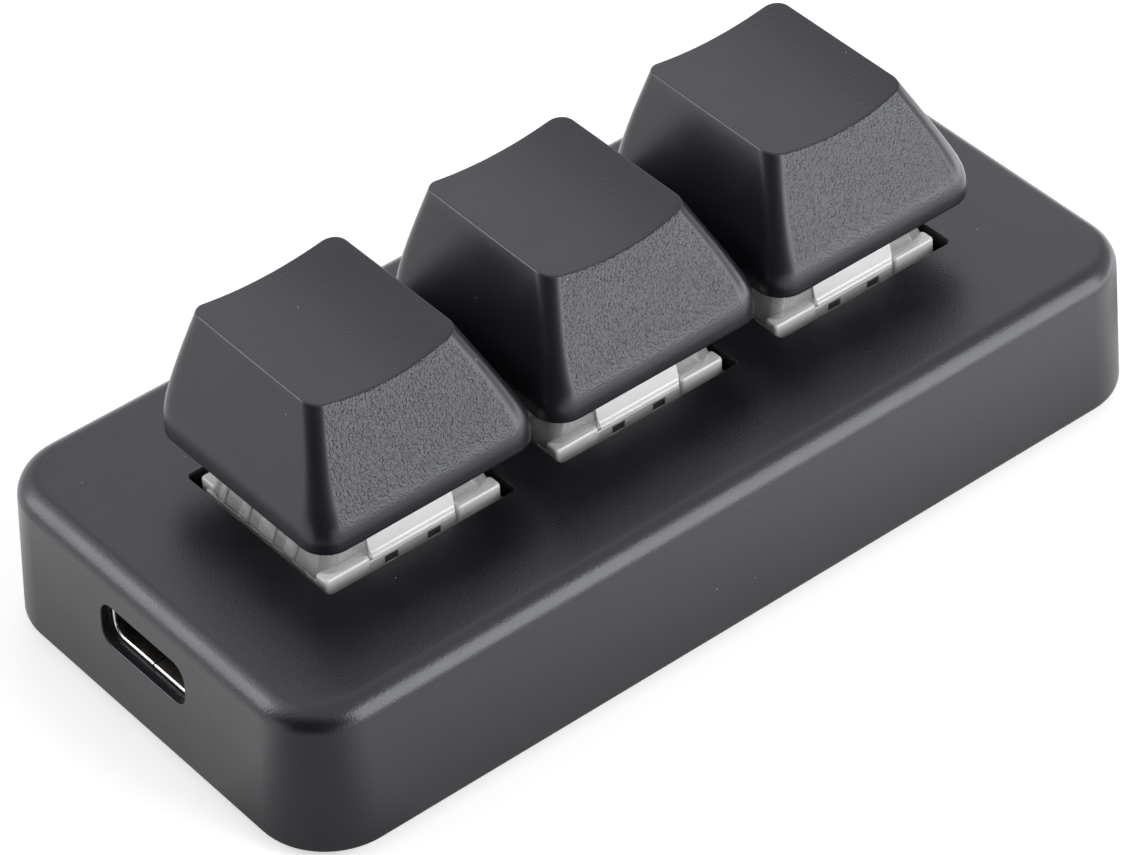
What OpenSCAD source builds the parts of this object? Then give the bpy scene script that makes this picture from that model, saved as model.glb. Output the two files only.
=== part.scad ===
// Macro keypad with three keys: a small case with three mechanical key switches in a row
// and a port for its lead in the left end.
// Frame: X runs along the row of keys, the user sits on the -Y side, Z is up.
// The origin is under the middle of the case, on the desk that the feet stand on.

/* [Case] */
// Length of the case at its foot, along the row of keys
case_len = 73.2; // [72:0.1:84]
// Width of the case at its foot
case_wid = 35.5; // [35:0.1:46]
// Height of the case without its feet
case_h = 11.4; // [11.2:0.1:15]
// Plan radius of the case's four corners at its foot
corner_r = 5.4; // [3.6:0.1:5.6]
// Radius of the rounded edge round the top
top_round = 1.6; // [0.6:0.1:2]
// Radius of the small rounded edge round the foot
foot_round = 0.4; // [0.1:0.1:0.8]
// Lean of the side walls in degrees, so that the case leaves its mould
wall_draft = 2.8; // [0:0.1:3.2]
// Thickness of the side walls at the foot
wall = 2.2; // [1.9:0.1:2.4]
// Thickness of the top wall
top_wall = 2.2; // [1.8:0.1:2.2]
// Side of each square opening for a switch
opening = 15.3; // [15.1:0.1:16.4]
// Plan radius of the openings' corners
opening_r = 0.3; // [0.1:0.1:0.8]

/* [Underside] */
// Thickness of the bottom cover
cover_t = 1.2; // [1:0.05:1.2]
// Diameter of a rubber foot
foot_d = 8; // [5:0.5:9]
// How far a foot stands below the case
foot_out = 0.8; // [0.4:0.1:2]
// How deep a foot sits in the bottom cover
foot_in = 0.4; // [0.2:0.05:0.5]
// Distance of a foot's centre from the inside of the end wall
foot_end_in = 12.4; // [11.5:0.1:20]
// Distance of a foot's centre from the inside of the long wall
foot_side_in = 6.35; // [6:0.05:9]

/* [Screws] */
// Diameter of the screws' shafts
screw_d = 2; // [1.6:0.1:2]
// Diameter of a case screw's countersunk head
case_screw_head = 3.8; // [3.2:0.1:4]
// Length of a case screw
case_screw_len = 6.5; // [4:0.5:7]
// Diameter of a case screw's boss
case_boss_d = 5; // [4.6:0.1:5.2]
// Distance of a case screw from the inside of the walls
case_screw_in = 3.4; // [3:0.1:3.8]
// Diameter of a board screw's pan head
board_screw_head = 3.6; // [3:0.1:3.8]
// Height of a board screw's pan head
board_screw_head_h = 0.9; // [0.5:0.05:0.9]
// Length of a board screw under its head
board_screw_len = 5; // [3:0.5:5]
// Diameter of a board screw's boss
board_boss_d = 4.2; // [3.6:0.1:4.4]
// Distance of a board screw from the inside of the long wall
board_screw_in = 3.75; // [3.4:0.05:4.2]

/* [Keys] */
// Gap between neighbouring key caps
cap_gap = 0.95; // [0.6:0.05:1.6]
// How far a key goes down
travel = 4; // [3:0.1:4]
// Side of the square key cap at its rim
cap_side = 18.1; // [17.6:0.05:19.5]
// Height of the key cap from its rim to its front top corners
cap_h = 8.6; // [8.4:0.1:12]
// Width of the key cap's top
cap_top_w = 11.9; // [11.6:0.1:13.5]
// Distance of the top's front edge from the key's middle
cap_front = 4.9; // [4.7:0.1:6.5]
// Distance of the top's back edge from the key's middle
cap_back = 8.1; // [7:0.1:8.8]
// Height of the upright skirt round the rim
cap_skirt = 1.7; // [0.4:0.1:2]
// Plan radius of the key cap's corners at the rim
cap_rim_r = 2.1; // [0.6:0.1:2.6]
// Plan radius of the key cap's corners at the top
cap_top_r = 1.2; // [0.3:0.1:1.6]
// How soon the corners tighten above the skirt: 1 is evenly up to the top
cap_tighten = 3; // [1:0.5:4]
// Depth of the top's hollow at its front edge
dish_front = 0.7; // [0.5:0.05:1.4]
// Depth of the top's hollow at its back edge
dish_back = 0.7; // [0.4:0.05:1.2]
// How much higher the hollow's lowest line is at its back end than at its front end
dish_rise = 0.1; // [0:0.05:0.8]
// Thickness of the key cap's walls
cap_wall = 1.3; // [1:0.05:1.5]
// Least thickness of the key cap's roof
cap_roof = 1.4; // [1:0.1:1.6]
// Room between the key cap's rim and the top of the case, with the key down
rim_room = 0.3; // [0.3:0.05:1]
// Outer diameter of the key cap's socket for the stem
cap_boss_d = 5.5; // [5:0.1:5.6]

/* [Switch] */
// Side of the switch's lower housing where it goes through the plate
housing_side = 13.8; // [13.4:0.1:13.8]
// Thickness of the flange that rests on the plate
flange_t = 0.7; // [0.6:0.1:1]
// Plan radius of the flange's corners
flange_r = 0.9; // [0.3:0.1:1.2]
// Height of the clear upper housing's top above the plate
housing_top = 6.6; // [6.4:0.1:6.6]
// Width of the clear upper housing at its base, along X
clear_x = 14; // [13.6:0.1:14.2]
// Depth of the upper housing at its base, along Y
clear_y = 12.8; // [12.6:0.1:13.2]
// Width of the upper housing's roof, along X
clear_top_x = 10.8; // [10.4:0.1:11]
// Depth of the upper housing's roof, along Y
clear_top_y = 10.6; // [10.2:0.1:11.2]
// Wall thickness of both housings
housing_wall = 1; // [0.8:0.05:1]
// Width of the raised light window on the upper housing's front
window_w = 7; // [5:0.1:8]
// Width of the stem, along X
stem_x = 7; // [6.6:0.1:7]
// Depth of the stem, along Y
stem_y = 5.8; // [5.6:0.1:5.8]
// Length of each bar of the stem's cross
cross_len = 4.1; // [3.9:0.05:4.2]
// Thickness of the bars of the stem's cross
cross_t = 1.2; // [1:0.05:1.4]
// Height of the stem's cross
cross_h = 3.6; // [3.2:0.1:3.6]
// Outer diameter of the return spring
spring_d = 4.2; // [4:0.05:4.25]
// Diameter of the return spring's wire
spring_wire = 0.3; // [0.2:0.05:0.3]
// Number of turns of the return spring
spring_turns = 9; // [6:1:9]

/* [Board and plate] */
// Thickness of the plate that holds the switches
plate_t = 1.5; // [1.4:0.05:1.55]
// Thickness of the circuit board
board_t = 1.6; // [1.2:0.1:1.6]
// How far the switches' pins stand out under the board
pin_out = 1.1; // [0.5:0.1:1.2]
// Room between the pins and the bottom cover
pin_room = 0.2; // [0.2:0.05:0.6]

/* [Port] */
// Width of the port's metal shell
port_w = 8.9; // [8.6:0.1:9]
// Height of the port's metal shell
port_h = 3.2; // [3:0.05:3.26]
// Length of the port's metal shell
port_len = 7.3; // [6.5:0.1:7.4]
// Thickness of the port's sheet metal
port_sheet = 0.3; // [0.2:0.02:0.3]
// How far the shell's mouth lies inside the end of the case
port_inset = 0.75; // [0.5:0.05:1.2]
// Distance of the port from the case's middle line
port_y = 0.2; // [-1:0.1:1]
// Distance from the port's soldered contacts to the first switch
port_room = 1.195; // [1:0.005:3]

/* [Gaps] */
// Gap round pieces that are fixed to each other
fit_gap = 0.1; // [0.05:0.01:0.12]
// Gap between pieces that slide on each other
slide_gap = 0.2; // [0.15:0.01:0.22]

/* [Hidden] */
$fn = 48;
// Small overlap that joins two volumes of one piece
join = 0.05;
// How far a cutting volume reaches past what it cuts
cut = 1;

// Colours as the photograph shows them
shell_black = [0.10, 0.10, 0.11];
cap_black = [0.13, 0.13, 0.14];
clear_plastic = [0.88, 0.90, 0.90, 0.6];
milky_plastic = [0.85, 0.86, 0.85];

// Heights, from the desk up
cover_top_z = foot_out + cover_t;
pin_end_z = cover_top_z + pin_room;
board_z = pin_end_z + pin_out;
board_top_z = board_z + board_t;
floor_top_z = board_top_z + housing_wall;
case_top_z = foot_out + case_h;
plate_top_z = case_top_z - top_wall;
plate_z = plate_top_z - plate_t;
flange_top_z = plate_top_z + flange_t;
clear_top_z = plate_top_z + housing_top;
rim_z = case_top_z + travel + rim_room;

// Inside of the case
inner_len = case_len - 2 * wall;
inner_wid = case_wid - 2 * wall;
inner_r = corner_r - wall;
inside_gap = 2 * fit_gap;

// Port: its place in the left end wall, midway between the board and the top wall
port_mid_z = (board_top_z + plate_top_z) / 2;
port_z = port_mid_z - port_h / 2;
port_wall_x = -case_len / 2 + (port_mid_z - foot_out) * tan(wall_draft);
port_x = port_wall_x + port_inset;
port_end_x = port_x + port_len;
port_r = 1.1;
port_in_w = port_w - 2 * port_sheet;
port_in_h = port_h - 2 * port_sheet;
port_seam = 0.14;
tongue_t = 0.7;
tongue_w = 6.7;
tongue_back_in = 1.6;
tongue_back_x = port_end_x - tongue_back_in;
tongue_front_in = 0.7;
tongue_front_x = port_x + tongue_front_in;
heel_t = 0.4;
heel_x = port_end_x + heel_t;
heel_front_in = 1.2;
heel_side_in = 0.5;
port_leg_w = 1;
port_leg_in = 2;
port_leg_x = [port_x + port_leg_in, port_end_x - tongue_back_in];
port_leg_y = port_w / 2 - port_sheet / 2;
port_leg_out = 0.5;
port_leg_gap = 0.2;
port_pin_w = 0.2;
port_pin_pitch = 0.5;
port_pin_t = 0.08;
port_pin_count = 12;
port_pin_foot = 0.6;
port_pin_front_in = 0.3;
port_foot_x = heel_x + port_pin_t + port_pin_foot;

// Places of the keys: the row starts behind the port; -1 is the left key, 0 the middle one
key_pitch = cap_side + cap_gap;
first_key_x = port_foot_x + port_room + housing_side / 2;
function key_x(k) = first_key_x + (k + 1) * key_pitch;

// Places of the screws and feet
case_screw_x = inner_len / 2 - case_screw_in;
case_screw_y = inner_wid / 2 - case_screw_in;
case_boss_clear = case_boss_d / 2 + 3 * fit_gap;
board_screw_y = inner_wid / 2 - board_screw_in;
screw_hole_d = screw_d + 0.3;
screw_end_gap = 0.3;
thread_gap = 0.02;
head_cone_h = (case_screw_head - screw_d) / 2 + join;
driver_len = 1.8;
driver_w = 0.4;
driver_deep = 0.45;
foot_x = inner_len / 2 - foot_end_in;
foot_y = inner_wid / 2 - foot_side_in;
foot_bevel = 0.3;

// Plate and board
plate_hole = housing_side + 2 * fit_gap;
plate_hole_r = 0.3;
plate_port_gap = 0.42;
plate_left_x = heel_x + plate_port_gap;
board_len = inner_len - 4 * inside_gap;
board_wid = inner_wid - 4 * inside_gap;
board_waist_len = 2 * (case_screw_x - case_boss_clear);
board_neck_wid = 2 * (case_screw_y - case_boss_clear);
board_edge_r = 1;

// Switch
cavity_side = housing_side - 2 * housing_wall;
flange_side = opening - 2 * fit_gap;
housing_r = 0.5;
nose = 0.3;
nose_w = 4;
nose_h = 2;
pole_d = 4;
pole_end_z = pin_end_z + fit_gap;
pole_end_t = 0.5;
guide_d = spring_d - 2 * spring_wire - 2 * slide_gap;
guide_h = 2.5;
guide_top_z = floor_top_z + guide_h;
post_d = 1.9;
post_gap = 0.1;
post_in_guide = 1.4;
roof_z = clear_top_z - housing_wall;
stem_top_z = clear_top_z + slide_gap;
stem_end_gap = 0.7;
stem_low_z = floor_top_z + travel + stem_end_gap;
stem_shoulder = 0.7;
stem_shoulder_h = 1.2;
pocket_end_gap = 1;
spring_seat_z = guide_top_z + travel + pocket_end_gap;
spring_pocket_d = spring_d + 2 * slide_gap;
spring_sides = 6;
spring_steps = 8;
stem_mouth_x = stem_x + 2 * slide_gap;
stem_mouth_y = stem_y + 2 * slide_gap;

// Upper housing: upright foot, window on its front, and latch slots at its foot
clear_upright = 1;
clear_base_r = 1.1;
clear_top_r = 0.8;
clear_inner_r = 0.4;
window_proud = 0.25;
window_foot = 1.3;
window_h = 2.8;
window_low_z = flange_top_z + window_foot;
window_high_z = window_low_z + window_h;
latch_w = 1.1;
latch_h = 0.7;
latch_x = 1.75;

// Switch contacts: sheet, pins and their places from the key's middle
contact_t = 0.2;
contact_top_z = plate_top_z - 0.3;
contact_foot_z = floor_top_z + 0.2;
pin_w = 0.9;
pin_slot = 0.2;
pin_hole_d = 1.5;
moving_pin = [-3.95, 2.54];
fixed_pin = [2.54, 5.08];
leaf_in = 1;
leaf_half_w = 1.2;
finger_y = fixed_pin[1] - 0.6;
finger_over = 0.6;
finger_h = 0.8;
finger_drop = 1.2;

// Key cap
cap_top_z = rim_z + cap_h;
dish_z = cap_top_z - dish_front;
cap_roof_z = dish_z - cap_roof;
socket_gap = 0.02;
socket_z = stem_top_z + fit_gap;
cap_rib_z = clear_top_z + travel + 0.4;
cap_rib_t = 1;

// Light-emitting parts under the switches, and their slots
led_size = [3.2, 1.6, 0.8];
led_y = -4.6;
led_slot = [5, 2.4];

// Parts soldered on the board, as length, width and height
chip_size = [9.9, 3.9, 1.4];
chip_stand = 0.1;
chip_leg_count = 8;
chip_leg_pitch = 1.27;
chip_leg_w = 0.4;
chip_leg_t = 0.2;
chip_leg_reach = 1;
chip_leg_z = 0.7;
capacitor_size = [1.6, 0.8, 0.8];
capacitor_count = 4;
capacitor_pitch = 3;
resistor_size = [1.6, 0.8, 0.45];
strip_y = (housing_side + board_wid) / 4;

// Rounded rectangle as points, n steps to a corner, with its middle at the origin
function rect_points(l, w, r, n = 6) = [
    for (q = [0:3])
        for (i = [0:n])
            let (a = 90 * q + 90 * i / n)
            let (sx = (q == 0 || q == 3) ? 1 : -1)
            let (sy = (q < 2) ? 1 : -1)
            [sx * (l / 2 - r) + r * cos(a), sy * (w / 2 - r) + r * sin(a)]
];

// Flat slab with rounded corners, its underside at height z
module slab(l, w, r, z, t) {
    translate([0, 0, z])
        linear_extrude(t)
            polygon(rect_points(l, w, r));
}

// Block given by its lowest and highest corners
module block(low, high) {
    translate(low)
        cube(high - low);
}

// Block given by its length, width and height, standing at height z on the origin
module standing_block(size, z) {
    translate([-size[0] / 2, -size[1] / 2, z])
        cube(size);
}

// Copies children to four places that mirror each other
module at_four(x, y) {
    for (sx = [-1, 1])
        for (sy = [-1, 1])
            translate([sx * x, sy * y, 0])
                children();
}

// Copies children to the board's four screws, which stand between the keys
module at_board_screws() {
    for (k = [-0.5, 0.5])
        for (side = [-1, 1])
            translate([key_x(k), side * board_screw_y, 0])
                children();
}

// Half outline of the case's wall round one corner's axis: small round at the foot,
// leaning wall, and the larger round at the top, which meets the wall without a kink
function wall_profile() =
    let (top_arc_z = case_h - top_round)
    let (top_arc_x = corner_r - top_arc_z * tan(wall_draft) - top_round / cos(wall_draft))
    concat(
        [[0, 0]],
        [for (i = [0:3]) let (a = 30 * i)
            [corner_r - foot_round + foot_round * sin(a), foot_round - foot_round * cos(a)]],
        [for (i = [0:8]) let (a = wall_draft + (90 - wall_draft) * i / 8)
            [top_arc_x + top_round * cos(a), top_arc_z + top_round * sin(a)]],
        [[0, case_h]]
    );

// Outer form of the case
module case_outside() {
    hull()
        at_four(case_len / 2 - corner_r, case_wid / 2 - corner_r)
            translate([0, 0, foot_out])
                rotate_extrude($fn = 64)
                    polygon(wall_profile());
}

// Top wall and side walls in one, with the bosses for both sets of screws
module top_case() {
    boss_foot_z = cover_top_z;
    color(shell_black)
        difference() {
            union() {
                difference() {
                    case_outside();
                    slab(inner_len, inner_wid, inner_r, 0, plate_top_z);
                }
                at_four(case_screw_x, case_screw_y)
                    translate([0, 0, boss_foot_z])
                        cylinder(d = case_boss_d, h = plate_top_z + join - boss_foot_z);
                at_board_screws()
                    translate([0, 0, board_top_z])
                        cylinder(d = board_boss_d, h = plate_top_z + join - board_top_z);
            }
            for (k = [-1:1])
                translate([key_x(k), 0, 0])
                    slab(opening, opening, opening_r, plate_top_z - cut, top_wall + 2 * cut);
            at_four(case_screw_x, case_screw_y)
                translate([0, 0, foot_out])
                    cylinder(d = screw_d + 2 * thread_gap, h = case_screw_len + screw_end_gap);
            at_board_screws()
                translate([0, 0, board_z])
                    cylinder(d = screw_d + 2 * thread_gap, h = board_screw_len + screw_end_gap);
            translate([-case_len / 2 - cut, port_y, port_mid_z])
                rotate([90, 0, 90])
                    linear_extrude(wall + 2 * cut)
                        polygon(rect_points(port_w + 2 * fit_gap, port_h + 2 * fit_gap, port_r));
        }
}

// Flat cover let into the foot of the case, with countersunk holes and beds for the feet
module bottom_cover() {
    color(shell_black)
        difference() {
            slab(inner_len - 2 * inside_gap, inner_wid - 2 * inside_gap, inner_r - inside_gap,
                foot_out, cover_t);
            at_four(case_screw_x, case_screw_y)
                translate([0, 0, foot_out - join])
                    cylinder(d = screw_hole_d, h = cover_t + 2 * join);
            at_four(case_screw_x, case_screw_y)
                translate([0, 0, foot_out - join])
                    cylinder(d1 = case_screw_head + 2 * fit_gap, d2 = screw_d,
                        h = head_cone_h + join + fit_gap);
            at_four(foot_x, foot_y)
                cylinder(d = foot_d + 2 * fit_gap, h = foot_out + foot_in);
        }
}

// Cross recess for a screwdriver, cut upwards from height z
module driver_cross(z) {
    for (turn = [0, 90])
        rotate([0, 0, turn])
            standing_block([driver_len, driver_w, driver_deep + join], z - join);
}

// Four countersunk screws from below into the case's bosses
module case_screws() {
    color([0.22, 0.22, 0.24])
        at_four(case_screw_x, case_screw_y)
            difference() {
                translate([0, 0, foot_out])
                    union() {
                        cylinder(d1 = case_screw_head, d2 = screw_d, h = head_cone_h);
                        cylinder(d = screw_d, h = case_screw_len);
                    }
                driver_cross(foot_out);
            }
}

// Four round rubber feet stuck in the cover's beds
module rubber_feet() {
    foot_top = foot_out + foot_in;
    color([0.16, 0.16, 0.16])
        at_four(foot_x, foot_y)
            rotate_extrude()
                polygon([
                    [0, 0], [foot_d / 2 - foot_bevel, 0], [foot_d / 2, foot_bevel],
                    [foot_d / 2, foot_top], [0, foot_top],
                ]);
}

// Form of the board and the switch plate: wide between the case's bosses, narrow past them
module board_form(z, t) {
    slab(board_waist_len, board_wid, board_edge_r, z, t);
    slab(board_len, board_neck_wid, board_edge_r, z, t);
}

// Plate under the top wall that the three switches snap into, cut off short of the port
module switch_plate() {
    color([0.18, 0.18, 0.19])
        difference() {
            board_form(plate_z, plate_t);
            block([-case_len / 2, -case_wid / 2, plate_z - cut],
                [plate_left_x, case_wid / 2, plate_top_z + cut]);
            for (k = [-1:1])
                translate([key_x(k), 0, 0])
                    slab(plate_hole, plate_hole, plate_hole_r, plate_z - cut, plate_t + 2 * cut);
            at_board_screws()
                translate([0, 0, plate_z - cut])
                    cylinder(d = board_boss_d + 4 * fit_gap, h = plate_t + 2 * cut);
        }
}

// Circuit board with holes for its screws, the switches' poles and pins, and the port's legs
module circuit_board() {
    hole_h = board_t + 2 * cut;
    color([0.05, 0.22, 0.12])
        difference() {
            board_form(board_z, board_t);
            at_board_screws()
                translate([0, 0, board_z - cut])
                    cylinder(d = screw_hole_d, h = hole_h);
            for (k = [-1:1])
                translate([key_x(k), 0, board_z - cut]) {
                    cylinder(d = pole_d + 2 * fit_gap, h = hole_h);
                    for (pin = [moving_pin, fixed_pin])
                        translate(pin)
                            cylinder(d = pin_hole_d, h = hole_h);
                }
            for (x = port_leg_x)
                for (side = [-1, 1])
                    translate([x, port_y + side * port_leg_y, board_z - cut])
                        slab(port_leg_w + 2 * port_leg_gap, port_sheet + 2 * port_leg_gap,
                            port_leg_gap, 0, hole_h);
        }
}

// Four pan head screws from below that hold the board to the top case
module board_screws() {
    color([0.55, 0.55, 0.57])
        at_board_screws()
            difference() {
                union() {
                    translate([0, 0, board_z - board_screw_head_h])
                        cylinder(d = board_screw_head, h = board_screw_head_h);
                    translate([0, 0, board_z - join])
                        cylinder(d = screw_d, h = board_screw_len + join);
                }
                driver_cross(board_z - board_screw_head_h);
            }
}

// Metal shell of the port: a folded tube with its seam below, and four legs in the board
module port_shell() {
    leg_end_z = board_z - port_leg_out;
    color([0.78, 0.78, 0.80])
        union() {
            difference() {
                translate([port_x, port_y, port_mid_z])
                    rotate([90, 0, 90])
                        linear_extrude(port_len)
                            difference() {
                                polygon(rect_points(port_w, port_h, port_r));
                                polygon(rect_points(port_in_w, port_in_h, port_r - port_sheet));
                            }
                block([port_x - cut, port_y - port_seam / 2, port_z - cut],
                    [port_end_x + cut, port_y + port_seam / 2, port_mid_z]);
            }
            for (x = port_leg_x)
                for (side = [-1, 1])
                    translate([x, port_y + side * port_leg_y, 0])
                        block([-port_leg_w / 2, -port_sheet / 2, leg_end_z],
                            [port_leg_w / 2, port_sheet / 2, port_mid_z]);
        }
}

// One contact of the port: along the tongue at height z, out at the back, down to the board
module port_contact(z) {
    rear_x = heel_x + port_pin_t;
    half = port_pin_w / 2;
    block([tongue_front_x + port_pin_front_in, -half, z], [rear_x, half, z + port_pin_t]);
    block([heel_x, -half, board_top_z], [rear_x, half, z + port_pin_t]);
    block([heel_x, -half, board_top_z], [port_foot_x, half, board_top_z + port_pin_t]);
}

// Both rows of the port's contacts, the lower row set over by half a step
module port_contact_rows() {
    first = -(port_pin_count - 1) * port_pin_pitch / 2;
    upper_z = port_mid_z + tongue_t / 2;
    lower_z = port_mid_z - tongue_t / 2 - port_pin_t;
    for (i = [0:port_pin_count - 1])
        translate([0, port_y + first + i * port_pin_pitch - port_pin_pitch / 4, 0])
            port_contact(upper_z);
    for (i = [0:port_pin_count - 1])
        translate([0, port_y + first + i * port_pin_pitch + port_pin_pitch / 4, 0])
            port_contact(lower_z);
}

// Black plastic of the port: tongue, block behind it, heel on the board, foot under the shell
module port_insulator() {
    foot_w = 2 * (port_leg_y - heel_side_in);
    color([0.07, 0.07, 0.07])
        difference() {
            union() {
                block([tongue_front_x, port_y - tongue_w / 2, port_mid_z - tongue_t / 2],
                    [tongue_back_x + join, port_y + tongue_w / 2, port_mid_z + tongue_t / 2]);
                block([tongue_back_x, port_y - port_in_w / 2 + port_r, port_z + port_sheet],
                    [heel_x, port_y + port_in_w / 2 - port_r, port_z + port_h - port_sheet]);
                block([port_end_x, port_y - port_in_w / 2 + port_r, board_top_z],
                    [heel_x, port_y + port_in_w / 2 - port_r, port_z + port_h - port_sheet]);
                block([port_x + heel_front_in, port_y - foot_w / 2, board_top_z],
                    [heel_x, port_y + foot_w / 2, port_z]);
            }
            port_contact_rows();
        }
}

// Two rows of gilt contacts on the port's tongue
module port_contacts() {
    color([0.80, 0.66, 0.32])
        port_contact_rows();
}

// Controller in a small package with a row of legs along each long side
module controller_chip() {
    first = -(chip_leg_count - 1) * chip_leg_pitch / 2;
    leg_y = (chip_size[1] + chip_leg_reach) / 2;
    foot_w = chip_leg_reach / 2 + chip_leg_t;
    color([0.09, 0.09, 0.10])
        translate([key_x(0), strip_y, board_top_z]) {
            standing_block(chip_size, chip_stand);
            for (i = [0:chip_leg_count - 1])
                for (side = [0, 180])
                    rotate([0, 0, side])
                        translate([first + i * chip_leg_pitch - chip_leg_w / 2, leg_y, 0]) {
                            translate([0, -chip_leg_reach / 2 - join, chip_leg_z])
                                cube([chip_leg_w, chip_leg_reach / 2 + join, chip_leg_t]);
                            translate([0, -chip_leg_t, 0])
                                cube([chip_leg_w, chip_leg_t, chip_leg_z + chip_leg_t]);
                            translate([0, -chip_leg_t, 0])
                                cube([chip_leg_w, foot_w, chip_leg_t]);
                        }
        }
}

// A row of ceramic capacitors in front of the middle key
module board_capacitors() {
    color([0.62, 0.50, 0.36])
        for (i = [0:capacitor_count - 1])
            translate([key_x(0) + (i - (capacitor_count - 1) / 2) * capacitor_pitch, -strip_y, 0])
                standing_block(capacitor_size, board_top_z);
}

// Two resistors beside the port
module board_resistors() {
    resistor_y = (port_w / 2 + board_neck_wid / 2) / 2;
    color([0.10, 0.10, 0.12])
        for (side = [-1, 1])
            translate([(port_x + port_end_x) / 2, port_y + side * resistor_y, 0])
                standing_block(resistor_size, board_top_z);
}

// One light on the board below each switch
module key_leds() {
    color([0.92, 0.90, 0.78])
        for (k = [-1:1])
            translate([key_x(k), led_y, 0])
                standing_block(led_size, board_top_z);
}

// Outline of the key cap at height z above its rim, made larger or smaller by grow all round
module cap_level(z, grow, t = 0.01) {
    up = max(0, (z - cap_skirt) / (cap_h - cap_skirt));
    half_x = cap_side / 2 + (cap_top_w / 2 - cap_side / 2) * up + grow;
    front = cap_side / 2 + (cap_front - cap_side / 2) * up + grow;
    back = cap_side / 2 + (cap_back - cap_side / 2) * up + grow;
    r = max(0.3, cap_top_r + (cap_rim_r - cap_top_r) * pow(1 - min(1, up), cap_tighten) + grow);
    translate([0, (back - front) / 2, 0])
        slab(2 * half_x, front + back, r, rim_z + z, t);
}

// Hollow of the key cap's top at distance y from the middle, as a slice that is open upwards
module dish_slice(y) {
    back_share = (y + cap_front) / (cap_back + cap_front);
    depth = dish_front + (dish_back - dish_front) * back_share;
    half = 0.75 * cap_top_w;
    steps = 16;
    translate([0, y, dish_z + dish_rise * back_share])
        rotate([90, 0, 0])
            linear_extrude(0.01)
                polygon(concat(
                    [for (i = [0:steps]) let (x = half * (2 * i / steps - 1))
                        [x, depth * pow(2 * x / cap_top_w, 2)]],
                    [[half, cap_h], [-half, cap_h]]
                ));
}

// Cross of the stem or of its socket, made larger by grow all round
module cross_bars(grow, z, h) {
    half_len = cross_len / 2 + grow;
    half_t = cross_t / 2 + grow;
    block([-half_len, -half_t, z], [half_len, half_t, z + h]);
    block([-half_t, -half_len, z], [half_t, half_len, z + h]);
}

// Hollow key cap with a sloping front, a top hollowed along Y, and a socket for the stem
module keycap(k) {
    rib_len = cap_top_w / 2;
    color(cap_black)
        translate([key_x(k), 0, 0])
            difference() {
                union() {
                    difference() {
                        hull() {
                            cap_level(0, 0);
                            for (share = [0, 0.25, 0.5])
                                cap_level(cap_skirt + share * (cap_h - cap_skirt), 0);
                            cap_level(cap_h + dish_rise, 0);
                        }
                        hull() {
                            dish_slice(-cap_front - 2);
                            dish_slice(cap_back + 2);
                        }
                        hull() {
                            cap_level(-0.01, -cap_wall);
                            cap_level(cap_skirt, -cap_wall);
                            cap_level(cap_roof_z - rim_z - 0.01, -cap_wall);
                        }
                    }
                    translate([0, 0, socket_z])
                        cylinder(d = cap_boss_d, h = cap_roof_z + join - socket_z);
                    block([-rib_len, -cap_rib_t / 2, cap_rib_z],
                        [rib_len, cap_rib_t / 2, cap_roof_z + join]);
                }
                cross_bars(socket_gap, socket_z - cut, cross_h + fit_gap + cut);
            }
}

// Stem: block in the housings' mouth, cross above, shoulders inside, pocket and post below
module stem(k) {
    color([0.80, 0.15, 0.12])
        translate([key_x(k), 0, 0]) {
            difference() {
                union() {
                    block([-stem_x / 2, -stem_y / 2, stem_low_z], [stem_x / 2, stem_y / 2, stem_top_z]);
                    block([-stem_x / 2 - stem_shoulder, -stem_y / 2, roof_z - stem_shoulder_h],
                        [stem_x / 2 + stem_shoulder, stem_y / 2, roof_z]);
                    cross_bars(0, stem_top_z - join, cross_h + join);
                }
                translate([0, 0, stem_low_z - cut])
                    cylinder(d = spring_pocket_d, h = spring_seat_z - stem_low_z + cut);
            }
            translate([0, 0, guide_top_z - post_in_guide])
                cylinder(d = post_d, h = spring_seat_z + join - guide_top_z + post_in_guide);
        }
}

// Middle of the spring's wire at step i, and the ring of points round it
function coil_mid(i) =
    let (a = 360 * i / spring_steps)
    let (r = (spring_d - spring_wire) / 2)
    let (low = floor_top_z + spring_wire / 2)
    let (rise = spring_seat_z - spring_wire / 2 - low)
    [r * cos(a), r * sin(a), low + rise * i / (spring_steps * spring_turns)];
function coil_ring(i) =
    let (a = 360 * i / spring_steps)
    [for (k = [0:spring_sides - 1]) let (b = 360 * k / spring_sides)
        coil_mid(i) + spring_wire / 2 * [cos(b) * cos(a), cos(b) * sin(a), sin(b)]];

// Least gap from the wire to itself, measured between steps that are not neighbours
function coil_gap(steps) =
    min([for (i = [0:steps]) for (k = [i + spring_steps / 2:steps])
        norm(coil_mid(i) - coil_mid(k)) - spring_wire]);

// Return spring: one open coil between the lower housing's floor and the stem's pocket
module return_spring(k) {
    sides = spring_sides;
    steps = spring_steps * spring_turns;
    points = [for (i = [0:steps]) each coil_ring(i)];
    tube = [
        for (i = [0:steps - 1])
            for (n = [0:sides - 1])
                let (a = i * sides + n)
                let (b = i * sides + (n + 1) % sides)
                each [[a, b, a + sides], [b, b + sides, a + sides]]
    ];
    last = steps * sides;
    ends = [for (n = [1:sides - 2]) each [[0, n + 1, n], [last, last + n, last + n + 1]]];
    echo(least_gap_in_spring = coil_gap(steps));
    color([0.75, 0.75, 0.77])
        translate([key_x(k), 0, 0])
            polyhedron(points = points, faces = concat(tube, ends));
}

// Half depth of the upper housing's leaning wall at height z
function clear_half_y(z) =
    let (lean_z = flange_top_z + clear_upright)
    clear_y / 2 + (clear_top_y - clear_y) / 2 * (z - lean_z) / (clear_top_z - lean_z);

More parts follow.
